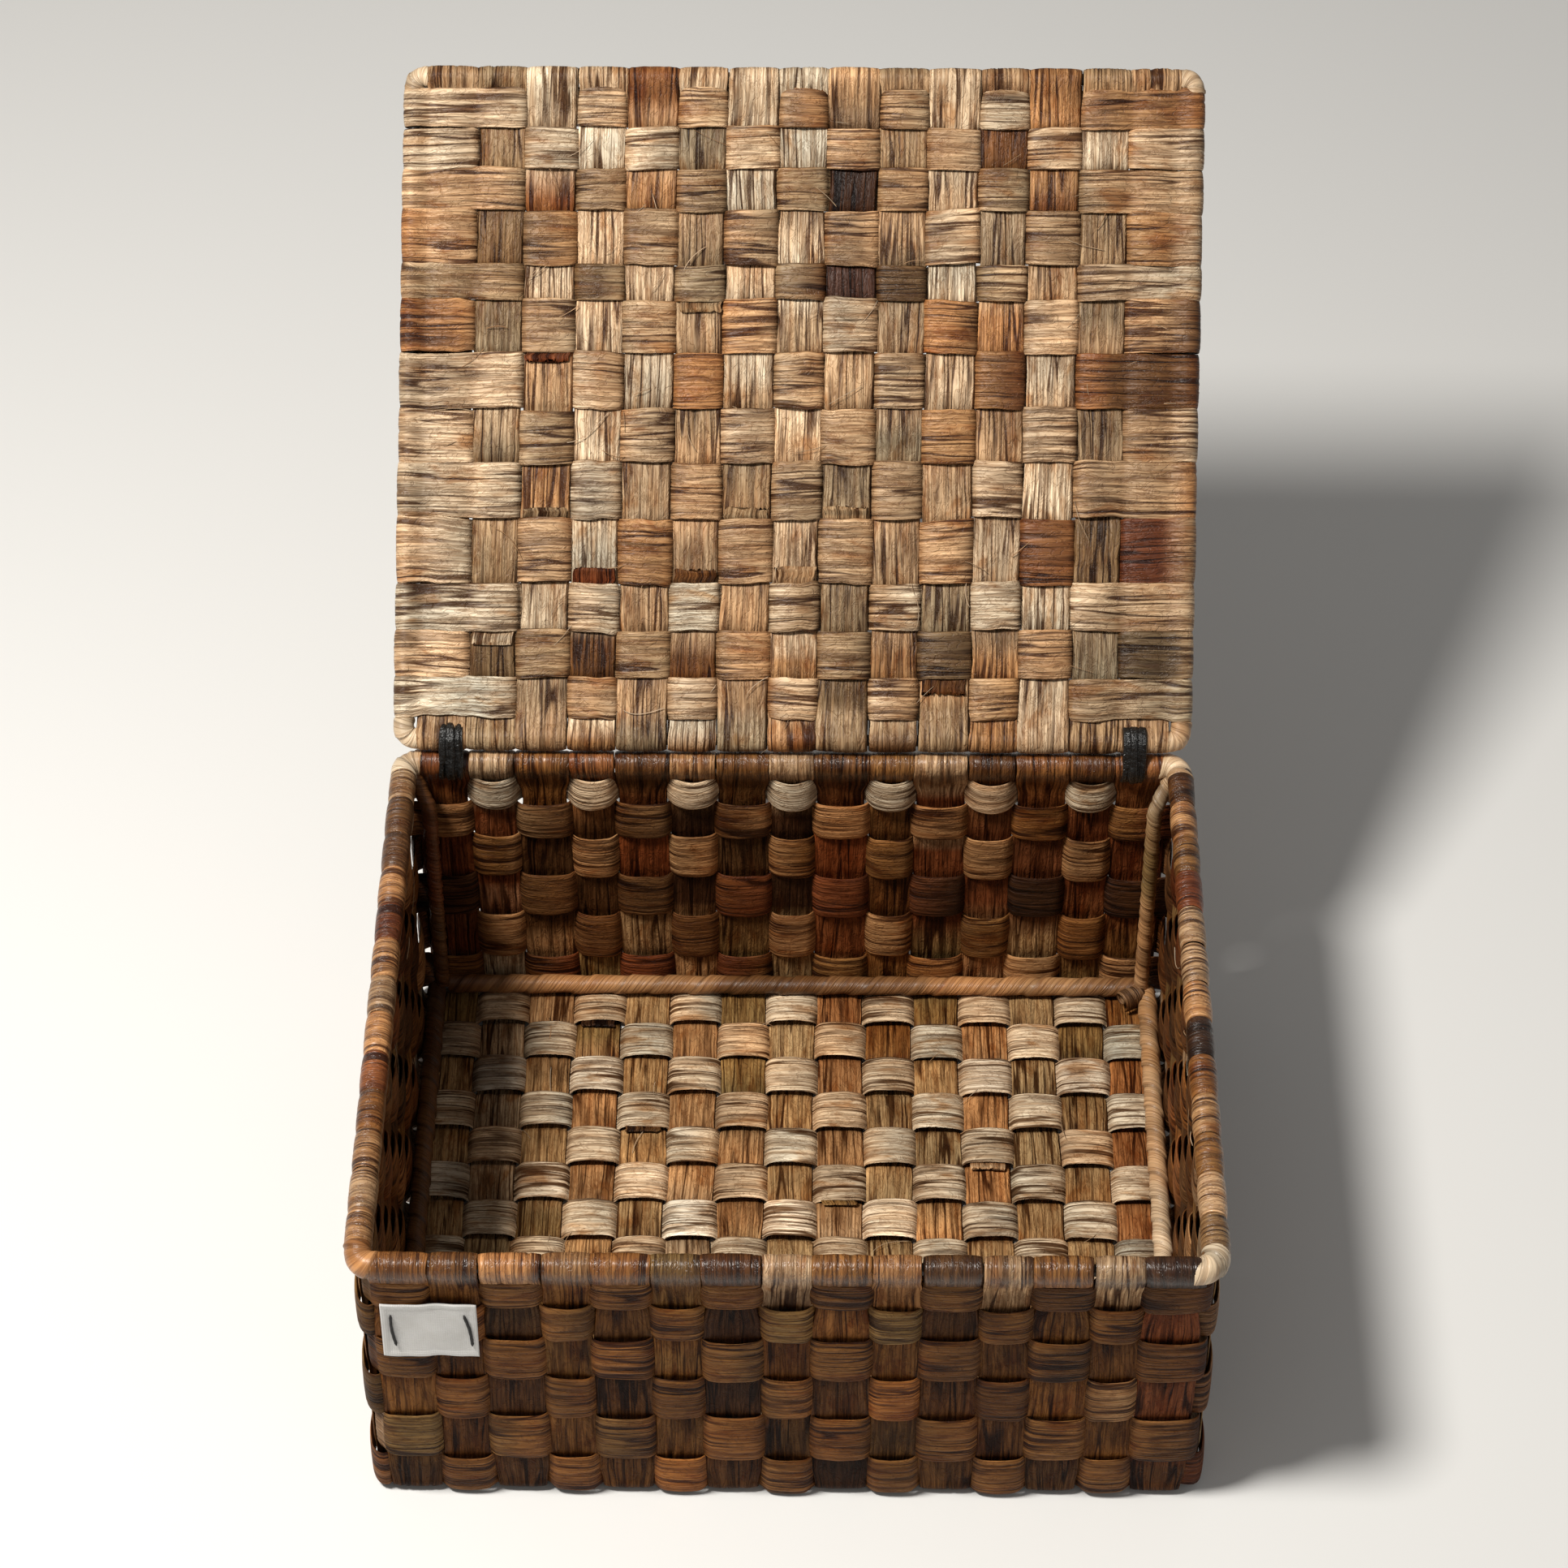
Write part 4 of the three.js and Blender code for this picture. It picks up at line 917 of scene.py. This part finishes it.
def lid_rod():
    """The rod round the lid, which leans with the weave it carries."""
    outline = []
    for n, (sx, su) in enumerate(((1, -1), (1, 1), (-1, 1), (-1, -1))):
        for a in np.radians(np.linspace(90 * n - 90, 90 * n, 9)):
            w = sx * (HALF_WIDTH - LID_CORNER) + LID_CORNER * math.cos(a)
            u = LID_LENGTH / 2 + su * (LID_LENGTH / 2 - LID_CORNER) + LID_CORNER * math.sin(a)
            outline.append((w, u))
    step, sides = 1.5, 12
    line = even_steps(outline, step, closed=True, dims=2)
    centre = lid_place(line[:, 1], 0.0, line[:, 0])
    side = np.cross(directions(centre, closed=True), LID_FACE)
    angles = np.arange(sides) / sides * 2 * math.pi
    rings = rings_round(centre, side, LID_FACE[None, :], np.full((len(line), 1), ROD_RADIUS), angles)
    add_swept("lid_rod", rings, np.arange(len(line)) * step, np.arange(sides + 1) * 1.2,
              np.full((len(line), sides, 4), 0.2), True, "lid", "rod", ROD_MATERIAL, ("lid_wire",))


# Hinge ties

def hinge_tie(side):
    """Three dark strands side by side, pulled tight round the back rim and the lid's rear rod."""
    name = "left" if side < 0 else "right"
    low, high = np.array([HALF_DEPTH, RIM_HEIGHT]), np.array(HINGE[1:])
    for strand in (-1, 0, 1):
        swell = 0.0 if strand else LOOP_SWELL
        outline = []
        for a in np.radians(np.arange(0, 360, 3)):
            way = np.array([math.cos(a), math.sin(a)])
            near, far = low + (RIM_LOOP + swell) * way, high + (LID_LOOP + swell) * way
            outline.append((*(near if near @ way > far @ way else far), 1.0))
        flat_ribbon(f"hinge_tie_strand_{name}_{strand + 2}", "basket", "tie", outline,
                    plane(0, side * TIE_X + strand * STRAND_PITCH), (1, 0, 0), STRAND_HALF, "dark",
                    closed=True, smooth=0.8, thickness=STRAND_THICKNESS, depth=0.40, fray=0.10,
                    material=TIE_MATERIAL, replaced=(f"hinge_tie_{name}",))


# The cloth label and its stitches

def label_face(x, z):
    """How far forward the cloth stands: it ripples a little over the strips behind it."""
    return LABEL_FACE - 0.30 * np.sin(x * 0.21 + 0.6) * np.cos(z * 0.16) - 0.16 * np.sin(x * 0.5 + z * 0.23)


def label():
    """Two grids of cloth, front and back, joined round their border, with a thicker hem."""
    grid = ((56, LABEL_WIDTH), (46, LABEL_HEIGHT))
    x, z = np.meshgrid(*((np.arange(count + 1) / count - 0.5) * size for count, size in grid))
    inset = np.minimum(LABEL_WIDTH / 2 - np.abs(x), LABEL_HEIGHT / 2 - np.abs(z))
    hem = np.where(inset < LABEL_HEM, HEM_RISE, 0.0)
    z = z + 0.4 * wander(x.shape[1], 16, seeded("label"))
    face = label_face(x, z)
    cloth = np.concatenate([np.stack([LABEL_X + x, y, LABEL_Z + z], axis=2).reshape(-1, 3)
                            for y in (face - hem, face + LABEL_CLOTH)])
    index = np.arange(x.size).reshape(x.shape)
    front = np.stack([index[:-1, :-1], index[:-1, 1:], index[1:, 1:], index[1:, :-1]], axis=2).reshape(-1, 4)
    border = np.concatenate([index[0, :-1], index[:-1, -1], index[-1, :0:-1], index[:0:-1, 0]])
    after = np.roll(border, -1)
    sides = np.stack([border, border + x.size, after + x.size, after], axis=1)
    faces = np.concatenate([front, front[:, ::-1] + x.size, sides])
    flat = cloth[:, [0, 2]] - np.array([LABEL_X, LABEL_Z])
    piece = add_mesh("label_cloth_piece", cloth, [faces], [flat[faces.ravel()]], None, "basket", "label",
                     CLOTH_MATERIAL, ("label",))


def thread(name, points, radius, words, sides):
    """Rings of a thin strand along points, tapering a little at both ends, with their tones."""
    line = even_steps(points, max(0.5, radius))
    count = len(line)
    along = directions(line)
    side = unit(np.cross(along, np.array([0.3, 0.2, 0.93])))
    ends = np.minimum(np.arange(count), np.arange(count)[::-1])
    thick = radius * np.clip(0.45 + ends / 3, 0, 1)
    angles = np.arange(sides) / sides * 2 * math.pi
    rings = rings_round(line, side, np.cross(side, along), thick[:, None], angles)
    tone = tones_along(count, words, seeded(name))[:, None, :] * np.ones((1, sides, 1))
    return rings, with_gloss(tone, 0.2)


def label_stitches():
    t = np.linspace(0, 1, 50)
    sides = 10
    for side, (top, foot, bow) in STITCHES.items():
        x = top + (foot - top) * t + bow * np.sin(math.pi * t)
        z = STITCH_TOP - STITCH_LENGTH * t
        lift = 0.25 + 0.22 * np.abs(np.sin(4.5 * math.pi * t))
        points = np.stack([LABEL_X + x, label_face(x, z) - lift, LABEL_Z + z], axis=1)
        name = f"label_stitch_{side}"
        rings, tones = thread(name, points, STITCH_RADIUS, "dark", sides)
        add_swept(name, rings, np.arange(len(rings)) * 0.6, np.arange(sides + 1) * 0.4, tones, False,
                  "basket", "label", THREAD_MATERIAL)


# Tucked ends, a curled end and loose fibres

# Torn ends on the lid: stem, row, 1 if it comes up from under the next row or -1 if down, tone, length
LID_TUCKS = [
    (6, 6, -1, "grey", 4.4), (3, 7, -1, "rust", 3.6), (3, 9, 1, "grey", 3.4), (7, 9, 1, "grey", 3.8),
    (9, 9, 1, "grey", 4.4), (4, 10, 1, "rust", 5.4), (6, 10, 1, "brown", 5.0), (8, 10, 1, "tan", 6.2),
    (2, 12, -1, "sand", 5.5), (11, 13, -1, "brown", 6.0),
]

# Torn ends on the floor: long strip, cross strip from the back, tone
FLOOR_TUCKS = [(5, 4, "brown"), (4, 1, "dark"), (10, 9, "rust"), (9, 6, "olive"), (12, 5, "tan")]


def tuck(name, body, place, length, half, words):
    """A short torn end that sticks out from under a crossing strip and lifts towards its tip."""
    # The third value is painted shade, darker where the end comes out from under the crossing strip.
    path = [(0, 0.2, 0.6), (1.3, 0.5, 0.7), (length * 0.6, 0.9, 1.0), (length + 1.3, 1.5, 1.0)]
    flat_ribbon(name, body, "wrap", path, place, (1, 0, 0), half, words, smooth=0.7, thickness=0.8,
                depth=0.25, ragged=0.9, gloss=0.1)


def tucks():
    for n, (k, row, way, tone, length) in enumerate(LID_TUCKS, 1):
        spot, half = LID_ROWS[row - 1]
        start = spot - way * (half + 1.3)
        tuck(f"lid_tuck_{n}", "lid", lambda u, v: lid_place(start + way * u, v + 1.1, LONG_X[k - 1]), length,
             lid_half(k) - 1.2, tone)
    for n, (k, row, tone) in enumerate(FLOOR_TUCKS, 1):
        edge = CROSS_Y[CROSS_COUNT - row] - CROSS_HALF + 1.5
        tuck(f"floor_tuck_{n}", "basket", lambda u, v: plane(0, LONG_X[k - 1])(edge - u, v + 4.3), 3.4, 7.0,
             tone)


def curled_end():
    """The end of the wound strip that curls out of the back right bottom corner."""
    t = np.linspace(0, 1, 40)
    turn = np.radians(-50 + 320 * t)
    radius = 5.2 - 3.2 * t
    # The third column is painted shade, darker towards the inner end of the curl.
    path = np.stack([radius * np.cos(turn), 11.0 + radius * np.sin(turn), 1.0 - 0.5 * t], axis=1)
    flat_ribbon("corner_curl", "basket", "wrap", path,
                lambda u, v: np.stack([141.0 + 0.5 * u, 116.5 - 0.86 * u, v], axis=1), (0.86, 0.5, 0), 5.0,
                "brown tan", smooth=0.6, thickness=1.0, gloss=0.3, ragged=0.8)


def loose_fibres(name, body, count, chooser):
    """Hair-thin fibres that have come off the stems and bend back to them, all in one piece."""
    rng = seeded(name)
    t = np.linspace(0, 1, 9)[:, None]
    vertices, tones, quads, caps = [], [], [], []
    base = 0
    for i in range(count):
        start, way, up = chooser(rng)
        length, lift, bend = rng.uniform(5, 17), rng.uniform(0.3, 1.3), rng.normal(0, 0.5)
        points = (start + way * (length * t) + np.cross(way, up) * (bend * length * t * t)
                  + up * (lift * np.sin(math.pi * t)))
        word = ["cream", "straw", "sand", "tan"][int(rng.integers(0, 4))]
        rings, tone = thread(f"{name}_{i}", points, rng.uniform(0.09, 0.18), word, 5)
        for faces, found in zip((quads, caps), ring_faces(*rings.shape[:2])):
            faces.append(found[:, ::-1] + base)
        vertices.append(rings.reshape(-1, 3))
        tones.append(tone.reshape(-1, 4))
        base += len(vertices[-1])
    vertices, tones, quads, caps = (np.concatenate(parts) for parts in (vertices, tones, quads, caps))
    quad_uvs = np.tile(np.array([[1, 1], [1, 0], [0, 0], [0, 1]]) * 0.4, (len(quads), 1))
    add_mesh(name, vertices, [quads, caps], [quad_uvs, np.zeros((caps.size, 2))], tones, body, "wrap",
             STRIP_MATERIAL)


def on_lid(rng):
    start = lid_place(rng.uniform(8, LID_LENGTH - 8), 2.6, rng.uniform(-145, 145))
    angle = rng.uniform(0, 2 * math.pi)
    return start, np.array([math.cos(angle), 0, 0]) + LID_UP * math.sin(angle), LID_FACE


def in_basket(rng):
    if rng.uniform() < 0.55:
        start = np.array([rng.uniform(-135, 135), rng.uniform(-110, 110), 5.4])
        angle = rng.uniform(0, 2 * math.pi)
        return start, np.array([math.cos(angle), math.sin(angle), 0]), UP
    sx = rng.choice([-1, 1])
    start = np.array([sx * (HALF_WIDTH - 2.4), rng.uniform(-110, 110), rng.uniform(80, 122)])
    return start, np.array([0, rng.choice([-1.0, 1.0]), rng.normal(0, 0.6)]), np.array([-sx, 0.0, 0])


# Floor, light and camera

def lamp(name, place, size, power, colour):
    data = bpy.data.lights.new(name, "AREA")
    data.shape = "DISK"
    data.size = size
    data.energy = power
    data.color = colour
    made = bpy.data.objects.new(name, data)
    made.location = place
    made.rotation_euler = (Vector((0, 0.05, 0.1)) - Vector(place)).to_track_quat("-Z", "Y").to_euler()
    bpy.context.scene.collection.objects.link(made)


def studio():
    bpy.ops.mesh.primitive_plane_add(size=8, location=(0, 1.0, -0.0002))
    floor = bpy.context.object
    floor.name = "studio_floor"
    material, tree, shader = new_material("studio_floor")
    fill(tree, shader, [("Base Color", (0.74, 0.735, 0.72, 1)), ("Roughness", 0.9)])
    floor.data.materials.append(material)
    world = bpy.data.worlds.new("studio")
    bpy.context.scene.world = world
    world.use_nodes = True
    background = world.node_tree.nodes["Background"]
    fill(world.node_tree, background, [("Color", (1.0, 0.985, 0.96, 1)), ("Strength", 0.22)])
    lamp("key", (-0.66, -0.30, 1.50), 0.34, 33.5, (1.0, 0.97, 0.92))
    lamp("fill", (1.1, -1.3, 1.1), 1.2, 1.2, (1.0, 0.98, 0.95))


CAMERA_PLACE = (9.08, -1186.4, 1416.6)
CAMERA_DROP = math.radians(44.55)
CAMERA_YAW = -0.00932
CAMERA_ROLL = -0.00108
FOCAL_PIXELS = 5664.0
PIXELS = 1932
SENSOR = 36.0


def camera():
    data = bpy.data.cameras.new("photo_camera")
    data.sensor_width = SENSOR
    data.lens = FOCAL_PIXELS / PIXELS * SENSOR
    data.clip_start = 0.05
    data.clip_end = 20
    level = math.cos(CAMERA_DROP)
    ahead = Vector((math.sin(CAMERA_YAW) * level, math.cos(CAMERA_YAW) * level, -math.sin(CAMERA_DROP)))
    right = Vector((math.cos(CAMERA_YAW), -math.sin(CAMERA_YAW), 0))
    up = right.cross(ahead)
    right_rolled = right * math.cos(CAMERA_ROLL) + up * math.sin(CAMERA_ROLL)
    up_rolled = up * math.cos(CAMERA_ROLL) - right * math.sin(CAMERA_ROLL)
    made = bpy.data.objects.new("photo_camera", data)
    turn = Matrix((right_rolled, up_rolled, -ahead)).transposed().to_4x4()
    made.matrix_world = Matrix.Translation(Vector(CAMERA_PLACE) * MM) @ turn
    bpy.context.scene.collection.objects.link(made)
    bpy.context.scene.camera = made


def build():
    for k in range(1, LONG_COUNT + 1):
        long_strip(k)
        lid_strip(k)
    for j in range(1, CROSS_COUNT + 1):
        cross_strip(j)
    for row in range(1, ROW_COUNT + 1):
        wall_row(row)
    for row in range(1, LID_COUNT + 1):
        lid_row(row)
    for side in WINDING_TONES:
        base_winding(side)
    for place, sx, sy in PLACES:
        post_winding(place, sx, sy)
        rim_corner(place, sx, sy)
        lid_corner(place, sx, sy)
    for side in (-1, 1):
        hinge_tie(side)
    lid_rod()
    label()
    label_stitches()
    tucks()
    curled_end()
    loose_fibres("loose_fibres_lid", "lid", 70, on_lid)
    loose_fibres("loose_fibres_basket", "basket", 70, in_basket)
    rods = frame["nodes"]["wire_frame"]
    rods.data.materials.clear()
    rods.data.materials.append(ROD_MATERIAL)


camera()
studio()
build()
bpy.context.scene.view_settings.view_transform = "Standard"
